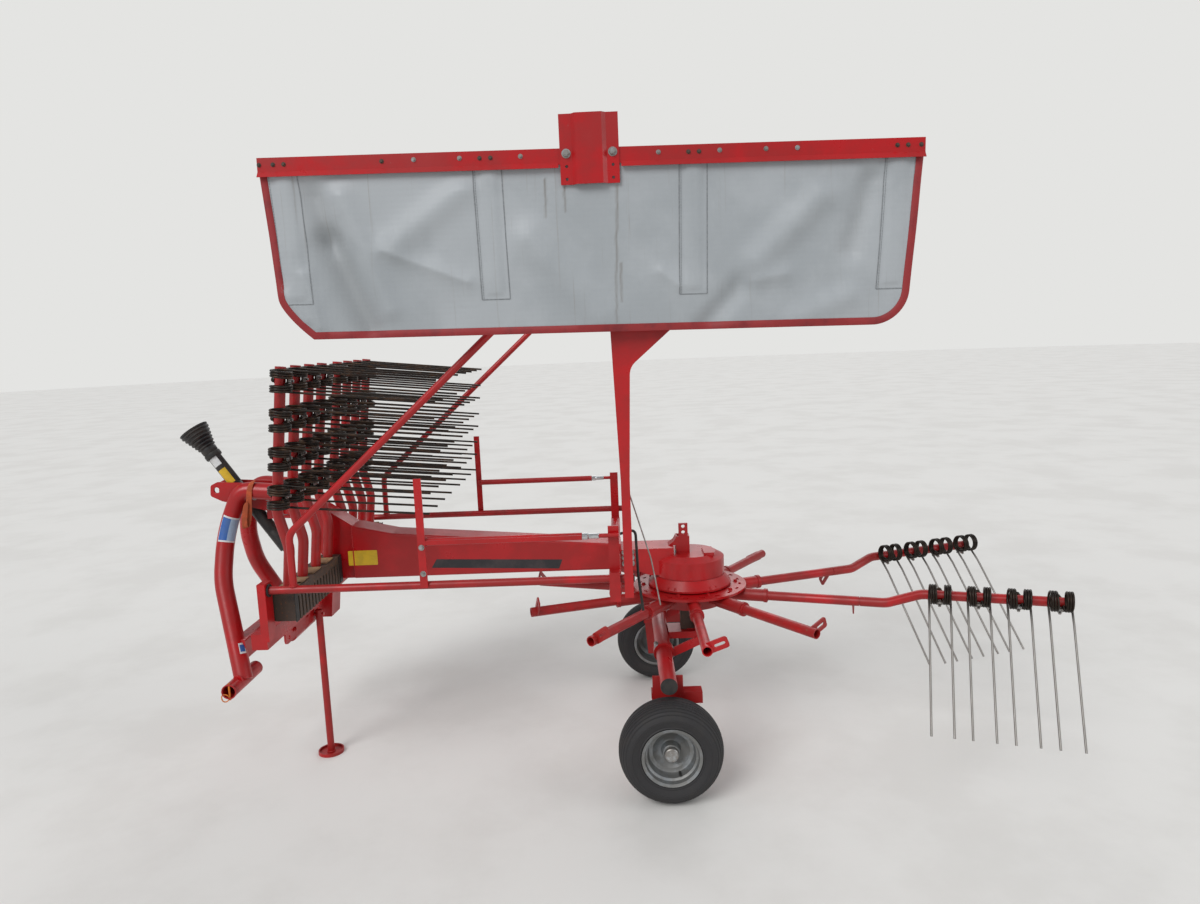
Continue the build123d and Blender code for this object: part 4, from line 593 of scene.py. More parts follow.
def row_tree(name, round_ends):
    """Small pieces in a row along a path: stitches, or the overlapping ripples of a weld."""
    tree, given, out = new_tree(name, [
        ("Pitch", "NodeSocketFloat", 0.009), ("Length", "NodeSocketFloat", 0.006),
        ("Thickness", "NodeSocketFloat", 0.0016), ("Finish", "NodeSocketMaterial", None)])
    path = add_node(tree, "GeometryNodeMeshToCurve", None, {"Mesh": given["Geometry"]})
    even = add_node(tree, "GeometryNodeResampleCurve", {"mode": "LENGTH"},
                    {"Curve": path.outputs["Curve"], "Length": given["Pitch"]})
    points = add_node(tree, "GeometryNodeCurveToPoints", {"mode": "EVALUATED"}, {"Curve": even.outputs["Curve"]})
    turn = add_node(tree, "FunctionNodeAlignRotationToVector", {"axis": "Z"}, {"Vector": points.outputs["Tangent"]})
    if round_ends:
        shape = add_node(tree, "GeometryNodeMeshIcoSphere", None, {"Radius": 0.5, "Subdivisions": 1}).outputs["Mesh"]
    else:
        shape = add_node(tree, "GeometryNodeMeshCylinder", None,
                         {"Vertices": 6, "Radius": 0.5, "Depth": 1.0}).outputs["Mesh"]
    scale = add_node(tree, "ShaderNodeCombineXYZ", None,
                     {0: given["Thickness"], 1: given["Thickness"], 2: given["Length"]})
    close_tree(tree, shape, points.outputs["Points"], turn.outputs["Rotation"], scale.outputs[0], given["Finish"],
               out)
    return tree


TREES = {}


def tree_of(kind):
    """The geometry trees, each built once."""
    makers = {"tine": double_tine_tree, "bolt": fastener_tree, "stitch": lambda: row_tree("stitched_seam", False),
              "weld": lambda: row_tree("weld_ripples", True)}
    if kind not in TREES:
        TREES[kind] = makers[kind]()
    return TREES[kind]


def paths_mesh(name, paths):
    """A mesh of edges only, one open or closed run for each path: points, closed."""
    points, edges = [], []
    for path, closed in paths:
        first = len(points)
        points += [ZERO + Vector(p) for p in path]
        edges += [(first + i, first + i + 1) for i in range(len(path) - 1)]
        if closed:
            edges.append((first + len(path) - 1, first))
    mesh = bpy.data.meshes.new(name)
    mesh.from_pydata(points, edges, [])
    return mesh


def ring(centre, along, radius, steps=20):
    """A closed path round a tube."""
    side = along.normalized().cross(Z if abs(along.normalized().z) < 0.9 else X).normalized()
    other = along.normalized().cross(side)
    turn = [2 * pi * i / steps for i in range(steps)]
    return [Vector(centre) + (side * cos(a) + other * sin(a)) * radius for a in turn], True


def arm_frame(number):
    """Turn of a rotor arm: x out along the socket, -z the way its tines point."""
    angle = radians(18 + 36 * number)
    out = Vector((cos(angle), sin(angle), 0))
    up = Matrix.Rotation(radians(ARM_ROLLS[number]), 3, out) @ Z
    return Matrix((out, up.cross(out), up)).transposed()


def hang(x, y, z):
    """A point of the tilted curtain from its place along the rail and its height, before the tilt."""
    dx, dz = x - HANG.x, z - HANG.z
    return Vector((HANG.x + dx * cos(CURTAIN_TILT) + dz * sin(CURTAIN_TILT), y,
                   HANG.z - dx * sin(CURTAIN_TILT) + dz * cos(CURTAIN_TILT)))


class RAKE_OT_paint(bpy.types.Operator):
    """Give every CAD node its finish"""

    bl_idname = "rake.paint"
    bl_label = "Finishes of the frame"

    def execute(self, context):
        worn = {"stored_arms", "tine_arm_left", "tine_arm_right", "arm_sockets", "guard_rail_left",
                "guard_rail_right", "lower_link_tube_left", "lower_link_tube_right", "jack_leg", "wheel_brackets"}
        other = {"arm_rack": "dark_plate", "rotor_column": "dark_plate", "stored_tines": "spring",
                 "tines_left": "worn_spring", "tines_right": "worn_spring", "tyre_left": "tyre", "tyre_right": "tyre",
                 "rim_left": "galvanised", "rim_right": "galvanised", "drive_shaft": "guard", "shaft_strap": "strap",
                 "curtain": "cloth"}
        for name, node in frame["nodes"].items():
            node.data.materials.clear()
            node.data.materials.append(finish_of(other.get(name, "worn_enamel" if name in worn else "enamel")))
        return {"FINISHED"}


class RAKE_OT_tines(bpy.types.Operator):
    """Wind the double spring tines of the stored and the mounted arms, with their bolts"""

    bl_idname = "rake.tines"
    bl_label = "Spring tines"

    def execute(self, context):
        # In the rack an arm's x is up and its tines point to the rear
        lean = Matrix.Rotation(RACK_LEAN, 3, "Y") @ Matrix((Z, Y, -X)).transposed()
        foot = [Vector((RACK_X, y, RACK_TOP)) + lean @ Vector((RACK_SLEEVE - SOCKET_END_R, 0, 0)) for y in RACK_YS]
        self.set_tines("stored", "stored_tines", "frame", "spring", [(place, lean) for place in foot])
        for side, number in MOUNTED.items():
            self.set_tines(side, f"tines_{side}", "rotor", "worn_spring",
                           [(Vector((0, 0, ROTOR_Z)), arm_frame(number))])
        return {"FINISHED"}

    def set_tines(self, name, node, body, finish_name, arms):
        """Tines, clamp plates, bolt heads and nuts of some arms: middle and turn of each"""
        sizes = bpy.context.scene.rake_sizes
        places = [(middle + turn @ Vector((r, 0, CRANK)), turn) for middle, turn in arms for r in TINE_RS]
        given = {"Wire": sizes.wire, "Coil": sizes.coil, "Turns": sizes.turns, "Leg": sizes.tine, "Knee": sizes.knee,
                 "Knee Angle": sizes.knee_angle, "Coil Y": COIL_Y, "Coil Z": COIL_Z, "Arm": ARM_R}
        tines = grow(f"spring_tines_{name}", tree_of("tine"), [(p, t.to_quaternion(), 1.0) for p, t in places], body,
                     finish_name, given, 60)
        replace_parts(tines, node)
        bm = bmesh.new()
        for middle, turn in places:
            under = Matrix.Translation((0, 0.001, -ARM_R - sizes.wire - 0.005))
            spot = Matrix.Translation(ZERO + middle) @ turn.to_4x4() @ under
            slab(bm, rectangle(0.040, 0.030, 0.004), spot, 0.0045, 0.001)
        keep_bmesh(f"tine_clamps_{name}", bm, body, "spring")
        over = Matrix.Rotation(pi, 3, "X")
        below = Vector((0, 0, -ARM_R - sizes.wire - 0.005))
        nuts = [(p + t @ below, (t @ over).to_quaternion(), 0.012) for p, t in places]
        grow(f"tine_nuts_{name}", tree_of("bolt"), nuts, body, "zinc", {"Tip": 0.7})
        heads = [(p + t @ Vector((0, 0, ARM_R - 0.001)), t.to_quaternion(), 0.0125) for p, t in places]
        grow(f"tine_bolts_{name}", tree_of("bolt"), heads, body, "spring", {"Height": 0.75})


# Tread: the shoulder's arc, the ribs' outer and inner edges from the middle, and the depth of the grooves
TREAD_CENTRE_R, TREAD_REACH, TREAD_HALF_W, TREAD_GROOVE = 0.1550, 0.0475, 0.0806, 0.0045
TREAD_RIBS = ((0.0720, 0.0640), (0.0605, 0.0520), (0.0485, 0.0400), (0.0365, 0.0280), (0.0245, 0.0145),
              (0.0105, -0.0105))
TREAD_START_R = 0.1592
VALVE_ANGLE = -70
STUB_R = 0.0155
# Sections as radius and distance from the wheel's middle. Tyre: bead, rim guard, side wall with its edge ring
SIDE_WALL = [(0.1075, 0.0615), (0.1165, 0.0680), (0.1200, 0.0745), (0.1240, 0.0752), (0.1265, 0.0738),
             (0.1400, 0.0785), (0.1500, 0.0808), (0.1510, 0.0824), (0.1575, 0.0824), (0.1590, 0.0806)]
# Rim: lip, bead seat, well, dished disc and hub, seen from outside
RIM = [(0.1155, 0.0700), (0.1160, 0.0725), (0.1145, 0.0730), (0.1125, 0.0718), (0.1080, 0.0705), (0.1045, 0.0690),
       (0.1025, 0.0560), (0.1015, 0.0500), (0.0975, 0.0460), (0.0935, 0.0440), (0.0915, 0.0330), (0.0900, 0.0210),
       (0.0860, 0.0140), (0.0800, 0.0110), (0.0720, 0.0095), (0.0700, 0.0075), (0.0560, -0.0010), (0.0470, -0.0045),
       (0.0400, -0.0050), (0.0370, -0.0030), (0.0350, 0.0100), (0.0345, 0.0300), (0.0320, 0.0330), (0.0290, 0.0335),
       (0.0285, 0.0300), (STUB_R, 0.0300)]
# The rim's back, from the lip to the far end of the hub
RIM_BACK = [(0.1155, 0.0700), (0.1080, 0.0680), (0.1060, 0.0560), (0.1055, -0.0560), (0.1080, -0.0680),
            (0.1150, -0.0690), (0.1160, -0.0720), (0.1120, -0.0730), (0.1040, -0.0700), (0.1015, -0.0560),
            (0.0985, -0.0200), (0.0960, 0.0000), (0.0840, 0.0070), (0.0720, 0.0050), (0.0560, -0.0060),
            (0.0440, -0.0100), (0.0350, -0.0120), (0.0345, -0.0600), (0.0320, -0.0650), (0.0160, -0.0650),
            (STUB_R, -0.0650)]
HUB_CAP = [(0.0285, 0.0290), (0.0285, 0.0440), (0.0275, 0.0485), (0.0245, 0.0515), (0.0215, 0.0520),
           (0.0205, 0.0505), (0.0120, 0.0508), (0.0, 0.0510), (0.0, 0.0290)]
VALVE = [(0.0, 0.0), (0.0055, 0.0), (0.005, 0.012), (0.0036, 0.014), (0.0036, 0.026), (0.0042, 0.027),
         (0.0042, 0.036), (0.0030, 0.038), (0.0, 0.038)]


def tyre_section():
    """The tyre's closed section: the shoulder rounds over to the tread, and the ribs stand out of it."""
    half = SIDE_WALL + [(TREAD_CENTRE_R + TREAD_REACH * cos(radians(a)), TREAD_HALF_W * sin(radians(a)))
                        for a in (76, 68)]
    for outer, inner in TREAD_RIBS:
        for y, deep in ((outer, TREAD_GROOVE), (outer - 0.0010, 0.0), (inner + 0.0010, 0.0), (inner, TREAD_GROOVE)):
            if y > 0:
                half.append((TREAD_CENTRE_R + TREAD_REACH * sqrt(1 - min(1.0, y / TREAD_HALF_W) ** 2) - deep, y))
    section = half + [(r, -y) for r, y in reversed(half)]
    return section + [section[0]]


class RAKE_OT_wheels(bpy.types.Operator):
    """Turn the ribbed tyres and the stepped rims with hub cap and valve"""

    bl_idname = "rake.wheels"
    bl_label = "Wheels"

    def execute(self, context):
        for side_name, side in SIDES:
            body = f"wheel_{side_name}"
            place = basis(Vector((WHEEL_X, side * WHEEL_Y, WHEEL_Z)), side * Y)
            bm = bmesh.new()
            lathe(bm, tyre_section(), place, 96)
            bmesh.ops.remove_doubles(bm, verts=bm.verts, dist=1e-6)
            for face in bm.faces:
                spot = place.inverted() @ face.calc_center_median()
                face.material_index = int(spot.xy.length > TREAD_START_R)
            tyre = keep_bmesh(f"ribbed_tyre_{side_name}", bm, body, "tyre", 28)
            tyre.data.materials.append(finish_of("tread"))
            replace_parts(tyre, f"tyre_{side_name}")
            rim = lathed(f"stepped_rim_{side_name}", RIM + RIM_BACK[::-1], place, 64, body, "galvanised",
                         32)
            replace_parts(rim, f"rim_{side_name}")
            lathed(f"hub_cap_{side_name}", HUB_CAP, place, 40, body, "zinc")
            valve = place @ Matrix.Rotation(radians(VALVE_ANGLE), 4, "Z") @ Matrix.Translation((0.088, 0, 0.020))
            lathed(f"valve_{side_name}", VALVE, valve @ Matrix.Rotation(radians(-12), 4, "Y"), 12, body, "nylon")
        return {"FINISHED"}


CLOTH_Y = -0.750
RAIL_FACE = -0.7562
CLOTH_FRONT, CLOTH_REAR = -1.463, 0.752
CLOTH_TOP, CLOTH_BOTTOM = 2.405, 1.806
CLOTH_HIGH = CLOTH_TOP - CLOTH_BOTTOM
CLOTH_COLUMNS, CLOTH_ROWS, AREA_STRIPS = 400, 84, 400
CLOTH_TAPER, CLOTH_CORNER, FRONT_SLANT = 0.050, 0.110, 0.135
# The cloth comes out from under the rail at this height, and its seams start there
RAIL_FOOT_Z = 2.352
POCKET_TOP = 2.350
# Under the rail the cloth is held flat; it hangs fully loose this far below
LOOSE_TOP, LOOSE_REACH = 2.345, 0.5
EDGE_STEPS, FOOT_STEPS, SEAM_STEPS = 60, 90, 24
# Section of the binding: how far in from the edge, and how far off the cloth
BINDING = [(0.024, 0.0006), (0.023, 0.0018), (0.004, 0.0022), (-0.001, 0.0), (0.004, -0.0022), (0.023, -0.0018),
           (0.024, -0.0006)]
BATTEN_HIGH, BATTEN_END = 0.0055, 0.022
# Pockets for the stiffening battens: front and rear edge at the top, lean of the lower end, bottom height
POCKETS = [(-1.436, -1.334, 0.028, 1.924), (-0.743, -0.647, 0.013, 1.924), (-0.056, 0.037, -0.004, 1.924),
           (0.625, 0.723, -0.024, 1.924)]
# Folds of the loose cloth: from and to (x, z), width, how far it stands out (a valley is below zero), sharpness
FOLDS = [
    ((-1.300, 2.335), (-1.245, 2.133), 0.042, -0.022, 2.0), ((-1.245, 2.133), (-1.125, 1.840), 0.050, -0.032, 2.0),
    ((-1.190, 2.280), (-1.050, 1.900), 0.045, 0.020, 2.0), ((-1.060, 2.095), (-0.775, 1.985), 0.028, 0.018, 1.2),
    ((-0.780, 2.290), (-1.005, 2.120), 0.050, 0.020, 2.0), ((0.410, 2.230), (0.205, 2.030), 0.050, 0.026, 2.0),
    ((0.290, 1.982), (0.180, 1.960), 0.035, 0.018, 1.6), ((-0.120, 2.000), (-0.065, 1.955), 0.022, 0.011, 1.4),
    ((0.580, 2.300), (0.515, 2.060), 0.040, -0.020, 2.0), ((0.145, 1.950), (0.020, 1.815), 0.038, -0.022, 2.0),
    ((-0.560, 2.120), (-0.330, 1.860), 0.060, 0.020, 2.0), ((-1.400, 1.960), (-1.340, 1.870), 0.020, 0.012, 1.3),
    ((-1.330, 2.020), (-1.290, 1.850), 0.025, 0.013, 1.5), ((0.500, 1.900), (0.330, 1.830), 0.045, 0.017, 2.0),
]
# Rain streaks on the cloth: x at the top, x at the foot, top and foot
STREAKS = [(-0.503, -0.503, 2.313, 2.191), (-0.438, -0.438, 2.286, 2.205), (-0.263, -0.276, 2.286, 1.834),
           (-0.256, -0.256, 2.033, 1.900)]


def cloth_edges(z):
    """Front and rear edge of the cloth at a height, its lower corners rounded."""
    down = (CLOTH_TOP - z) / CLOTH_HIGH
    inset = CLOTH_TAPER * down
    low = z - CLOTH_BOTTOM
    front = rear = inset
    if low < CLOTH_CORNER:
        rear += CLOTH_CORNER - sqrt(max(0.0, CLOTH_CORNER**2 - (CLOTH_CORNER - low) ** 2))
    # The front corner has sagged to a nearly straight slant
    if low < FRONT_SLANT:
        front += FRONT_SLANT * 0.72 * (1 - low / FRONT_SLANT) ** 1.5
    return CLOTH_FRONT + front, CLOTH_REAR - rear


def cloth_depth(x, z, slack):
    """How far the cloth stands off its flat plane at a point: soft folds from the rail, none at the rail."""
    down = max(0.0, min(1.0, (LOOSE_TOP - z) / LOOSE_REACH))
    broad = noise.noise(Vector((x * 2.3 + z * 1.7, 3.1, z * 1.1)))
    fine = noise.noise(Vector((x * 6.1 - z * 3.8, 8.7, z * 2.6)))
    reach = slack * (broad + 0.55 * fine) * (0.35 + down) * min(1.0, down * 5)
    for (ax, az), (bx, bz), width, stands, sharp in FOLDS:
        run = sqrt((bx - ax) ** 2 + (bz - az) ** 2)
        gone = ((x - ax) * (bx - ax) + (z - az) * (bz - az)) / run
        off = abs((x - ax) * (bz - az) - (z - az) * (bx - ax)) / run
        past = max(0.0, -gone, gone - run)
        away = sqrt(off * off + past * past) / width
        if away < 3:
            reach += stands * 2.718 ** -(away**sharp) * min(1.0, down * 8)
    return reach


def cloth_streaks_and_shade(x, z, slack):
    """Painted shade in the valleys of the folds, and the rain streaks, 0 to 1."""
    reach = cloth_depth(x, z, slack)
    # The valleys of the folds are darkened a little: painted shade
    held = max(0.0, min(1.0, -reach / 0.030)) * 0.12
    for top_x, foot_x, top, foot in STREAKS:
        if foot < z < top:
            gone = (top - z) / (top - foot)
            off = abs(x - top_x - (foot_x - top_x) * gone - 0.003 * noise.noise(Vector((x * 9, z * 40, 1.0))))
            held = max(held, (0.75 - 0.3 * gone) * max(0.0, 1 - off / 0.006))
    return held


def batten_bulge(x, z):
    """Height of the batten's bulge inside its pocket."""
    for front, rear, lean, bottom in POCKETS:
        down = (CLOTH_TOP - z) / (CLOTH_TOP - bottom)
        middle = (front + rear) / 2 + lean * down
        half = (rear - front) * 0.30
        across = abs(x - middle) / half
        below = (bottom + 0.032) - z
        end = max(0.0, 1 - (below / BATTEN_END) ** 2) if below > 0 else 1.0
        if across < 1.5 and z > bottom and end > 0:
            return BATTEN_HIGH * end * (1 - min(1.0, across / 1.15) ** 2.6 if across < 1.15 else 0.0)
    return 0.0


def on_cloth(x, z, slack, lift=0.0009):
    """A point of the hung cloth, or a little in front of it."""
    return hang(x, CLOTH_Y - cloth_depth(x, z, slack) - batten_bulge(x, z) - lift, z)


def steps_between(a, b, count):
    """Points from one towards another, without the last."""
    return [(a[0] + (b[0] - a[0]) * k / count, a[1] + (b[1] - a[1]) * k / count) for k in range(count)]


class RAKE_OT_curtain(bpy.types.Operator):
    """Hang the curtain with its pockets, bound edge and seams"""

    bl_idname = "rake.curtain"
    bl_label = "Curtain"

    def execute(self, context):
        sizes = context.scene.rake_sizes
        cloth = self.cloth(sizes.slack)
        binding = self.binding(sizes.slack)
        seams = self.seams(sizes)
        folds = self.pocket_folds_painted_shade(sizes.slack)
        for j in range(AREA_STRIPS):
            left, right = cloth_edges(CLOTH_BOTTOM + CLOTH_HIGH * (j + 0.5) / AREA_STRIPS)
        return {"FINISHED"}

    def cloth(self, slack):
        """The loose cloth, with the painted shade of its valleys and the rain streaks in its attribute"""
        points, streaks_and_valley_shade = [], []
        for j in range(CLOTH_ROWS + 1):
            t = j / CLOTH_ROWS
            # Rows gather towards the rounded corners at the bottom
            z = CLOTH_BOTTOM + CLOTH_HIGH * (0.35 * t * t + 0.65 * t)
            left, right = cloth_edges(z)
            for i in range(CLOTH_COLUMNS + 1):
                x = left + (right - left) * i / CLOTH_COLUMNS
                points.append(ZERO + on_cloth(x, z, slack, 0.0))
                streaks_and_valley_shade.append(cloth_streaks_and_shade(x, z, slack))
        wide = CLOTH_COLUMNS + 1
        corners = [j * wide + i for j in range(CLOTH_ROWS) for i in range(CLOTH_COLUMNS)]
        mesh = bpy.data.meshes.new("curtain_cloth")
        mesh.from_pydata(points, [], [(a, a + 1, a + wide + 1, a + wide) for a in corners])
        mesh.attributes.new("streaks_and_valley_shade", "FLOAT", "POINT").data.foreach_set("value", streaks_and_valley_shade)
        cloth = keep("curtain_cloth", mesh, "curtain_unit", "cloth", 60)
        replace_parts(cloth, "curtain")
        return cloth

    def binding(self, slack):
        """The bound edge: down the front, round the corners, along the bottom and up the rear"""
        foot_z = CLOTH_BOTTOM + 0.0002
        heights = [RAIL_FOOT_Z - (RAIL_FOOT_Z - foot_z) * sin(k / (EDGE_STEPS - 1) * pi / 2)
                   for k in range(EDGE_STEPS)]
        edge = [(cloth_edges(z)[0], z) for z in heights]
        low_front, low_rear = cloth_edges(heights[-1])[0], cloth_edges(foot_z)[1]
        edge += [(low_front + (low_rear - low_front) * k / FOOT_STEPS, CLOTH_BOTTOM) for k in range(1, FOOT_STEPS)]
        edge += [(cloth_edges(z)[1], z) for z in reversed(heights)]
        bm = bmesh.new()
        middle = (HANG.x, 2.12)
        rings = []
        for n, (x, z) in enumerate(edge):
            px, pz = edge[max(0, n - 1)]
            nx, nz = edge[min(len(edge) - 1, n + 1)]
            run = sqrt((nx - px) ** 2 + (nz - pz) ** 2)
            inward = (-(nz - pz) / run, (nx - px) / run)
            if inward[0] * (middle[0] - x) + inward[1] * (middle[1] - z) < 0:
                inward = (-inward[0], -inward[1])
            row = []
            for off, lift in BINDING:
                sx, sz = x + inward[0] * off, z + inward[1] * off
                row.append(bm.verts.new(ZERO + hang(sx, CLOTH_Y - cloth_depth(sx, sz, slack) - lift, sz)))
            rings.append(row)
        for low, high in zip(rings, rings[1:]):
            skin(bm, low, high)
        bm.faces.ensure_lookup_table()
        for n, face in enumerate(bm.faces):
            # The two faces at the folded edge take the brighter copy of the tape: a painted highlight
            face.material_index = int(n % len(BINDING) in (2, 3))
        bm.faces.new(rings[0])
        bm.faces.new(rings[-1])
        binding = keep_bmesh("curtain_binding", bm, "curtain_unit", "binding", 50)
        binding.data.materials.append(finish_of("binding_edge_highlight"))
        return binding

    def seams(self, sizes):
        """Seams: two rows down and one across each pocket"""
        paths = []
        for front_x, rear_x, lean, bottom in POCKETS:
            outline = [(front_x, RAIL_FOOT_Z), (front_x + lean, bottom), (rear_x + lean, bottom),
                       (rear_x, RAIL_FOOT_Z)]
            run = [p for a, b in zip(outline, outline[1:]) for p in steps_between(a, b, SEAM_STEPS)]
            inner = [(front_x + 0.006 + lean * k / SEAM_STEPS,
                      RAIL_FOOT_Z - (RAIL_FOOT_Z - bottom - 0.006) * k / SEAM_STEPS)
                     for k in range(SEAM_STEPS + 1)]
            for path in (run + [outline[-1]], inner):
                paths.append(([on_cloth(x, z, sizes.slack) for x, z in path], False))
        return grow("curtain_seams", tree_of("stitch"), paths_mesh("seam_paths", paths), "curtain_unit", "thread",
                    {"Pitch": sizes.stitch, "Length": sizes.stitch * 0.72, "Thickness": 0.0016})

    def pocket_folds_painted_shade(self, slack):
        """Folds of the coated cloth beside the seams, in the darker thread grey, which paints shade lines along the
        pocket edges
        """
        bm = bmesh.new()
        for front_x, rear_x, lean, bottom in POCKETS:
            outline = [(front_x, POCKET_TOP), (front_x + lean, bottom), (rear_x + lean, bottom), (rear_x, POCKET_TOP)]
            for (ax, az), (bx, bz) in zip(outline, outline[1:]):
                across = Vector((bz - az, 0, ax - bx)).normalized() * 0.0022
                last = None
                for x, z in steps_between((ax, az), (bx, bz), 40) + [(ax + (bx - ax), az + (bz - az))]:
                    row = [bm.verts.new(ZERO + on_cloth(x, z, slack, lift) + across * off)
                           for off, lift in ((-1, 0.0002), (0, 0.0014), (1, 0.0002))]
                    if last:
                        for a in range(2):
                            bm.faces.new((last[a], last[a + 1], row[a + 1], row[a]))
                    last = row
        # The thread grey of these folds is painted shade along the pocket edges
        return keep_bmesh("pocket_folds_painted_shade", bm, "curtain_unit", "thread", 60)


def turn_to(along):
    """Quaternion that turns z to a direction."""
    return Z.rotation_difference(Vector(along).normalized())


RAIL_HOLES = (-0.937, -0.784, -0.581, -0.124, 0.078, 0.230, 0.333)
# Bolts: name, body, finish, thread in metres, the way they look, places
BOLTS = [
    ("curtain_rail_bolts", "curtain_unit", "zinc", 0.0072, (0, -1, 0),
     [(x, RAIL_FACE - 0.0001, 2.388) for x in RAIL_HOLES]),
    ("curtain_rail_rivets", "curtain_unit", "dark_plate", 0.0068, (0, -1, 0),
     [(x, RAIL_FACE - 0.0001, 2.386) for x in (-1.456, -1.409, -1.373, -1.044, -0.717, -0.681, -0.025, 0.010, 0.660,
                                               0.695, 0.738)]),
    ("hat_bolts", "curtain_unit", "zinc", 0.014, (0, -1, 0), [(-0.429, -0.7614, 2.392), (-0.275, -0.7614, 2.392)]),
    *[(f"upright_bolts_{name}", f"{name}_guard", "zinc", 0.010, (0, side, 0),
       [(-1.030, side * 0.6553, 1.050), (-1.030, side * 0.6553, 0.951)]) for name, side in SIDES],
    ("skirt_bolts", "frame", "enamel", 0.010, (0, 0, 1),
     [(0.172 * cos(radians(a + d)), 0.172 * sin(radians(a + d)), 0.6985) for a in range(-120, 240, 60)
      for d in (-5, 5)]),
    ("flange_bolts", "rotor", "enamel", 0.010, (0, 0, 1),
     [(0.205 * cos(radians(a)), 0.205 * sin(radians(a)), 0.6822) for a in range(0, 360, 36)]),
    *[(name, "frame", "zinc", 0.012, (0, side, 0),
       [(x, side * 0.0752, z) for x in (-0.285, -0.255) for z in (0.802, 0.828, 0.852)])
      for name, side in (("neck_bolts", -1), ("neck_bolts_right", 1))],
    ("collar_bolts", "frame", "zinc", 0.010, (-0.7, 0, 0.7),
     [(WHEEL_X - 0.0305, y, AXLE_TUBE_Z + 0.0305) for y in (-0.250, -0.230, 0.230, 0.250)]),
    ("top_plate_bolts", "headstock", "zinc", 0.014, (0, -1, 0), [(-1.845, -0.0453, 1.150), (-1.905, -0.0453, 1.155)]),
    ("jack_bolts", "frame", "enamel", 0.010, (1, 0, 0), [(-1.6505, -0.36, 0.655), (-1.6505, -0.22, 0.665)]),
]


class RAKE_OT_fasteners(bpy.types.Operator):
    """Set the bolts from their table"""

    bl_idname = "rake.fasteners"
    bl_label = "Fasteners"

    def execute(self, context):
        for name, body, finish_name, thread, along, places in BOLTS:
            if body == "curtain_unit" and name != "hat_bolts":
                places = [hang(*p) for p in places]
            facing = turn_to(along)
            grow(name, tree_of("bolt"), [(p, facing, thread) for p in places], body, finish_name)
        return {"FINISHED"}


# Round welds: body, and rings as centre, axis and radius
WELDS = [
    *[(f"{name}_guard", [((-1.524, side * GUARD_Y, 0.918), (0, 0, 1), 0.0145),
                         ((-1.016, side * GUARD_Y, STRUT_Z), (1, 0, 0), 0.0145)]) for name, side in SIDES],
    ("rotor", [((0.346 * cos(radians(18 + 36 * i)), 0.346 * sin(radians(18 + 36 * i)), 0.645),
                (cos(radians(18 + 36 * i)), sin(radians(18 + 36 * i)), 0), 0.0215) for i in range(10)]),
    ("jack", [((-1.630, -0.136, 0.008), (0, 0, 1), 0.0165)]),
    ("frame", [((-0.325, -0.0715, 0.845), (0, 1, 0), 0.0245), ((-0.325, 0.0715, 0.845), (0, 1, 0), 0.0245)]),
    ("headstock", [((-1.905, s * 0.450, LINK_Z), (0, 1, 0), 0.0285) for s in (-1, 1)]),
]
# Straight welds: body and the two ends
SEAMS = [
    ("frame", [((-1.479, y, 0.784), (-1.479, y, 1.004)) for y in (-0.0705, 0.0705)]),
    ("frame", [((-0.301, y, 0.788), (-0.301, y, 0.862)) for y in (-0.0755, 0.0755)]),
    ("frame", [((-0.016, y, 0.4785), (0.014, y, 0.4785)) for y in (-0.031, 0.031)]),
]


class RAKE_OT_welds(bpy.types.Operator):
    """Lay the weld beads"""

    bl_idname = "rake.welds"
    bl_label = "Welds"

    def execute(self, context):
        sizes = context.scene.rake_sizes
        paths = {}
        for body, rings in WELDS:
            paths.setdefault(body, []).extend(ring(c, Vector(a), r) for c, a, r in rings)
        for body, runs in SEAMS:
            paths.setdefault(body, []).extend(([Vector(a), Vector(b)], False) for a, b in runs)
        for body, runs in paths.items():
            grow(f"welds_{body}", tree_of("weld"), paths_mesh(f"weld_paths_{body}", runs), body, "enamel",
                 {"Pitch": sizes.ripple, "Length": sizes.ripple * 1.9, "Thickness": 0.0065}, 70)
        return {"FINISHED"}


STRAP_HALF_W, STRAP_T = 0.014, 0.0024


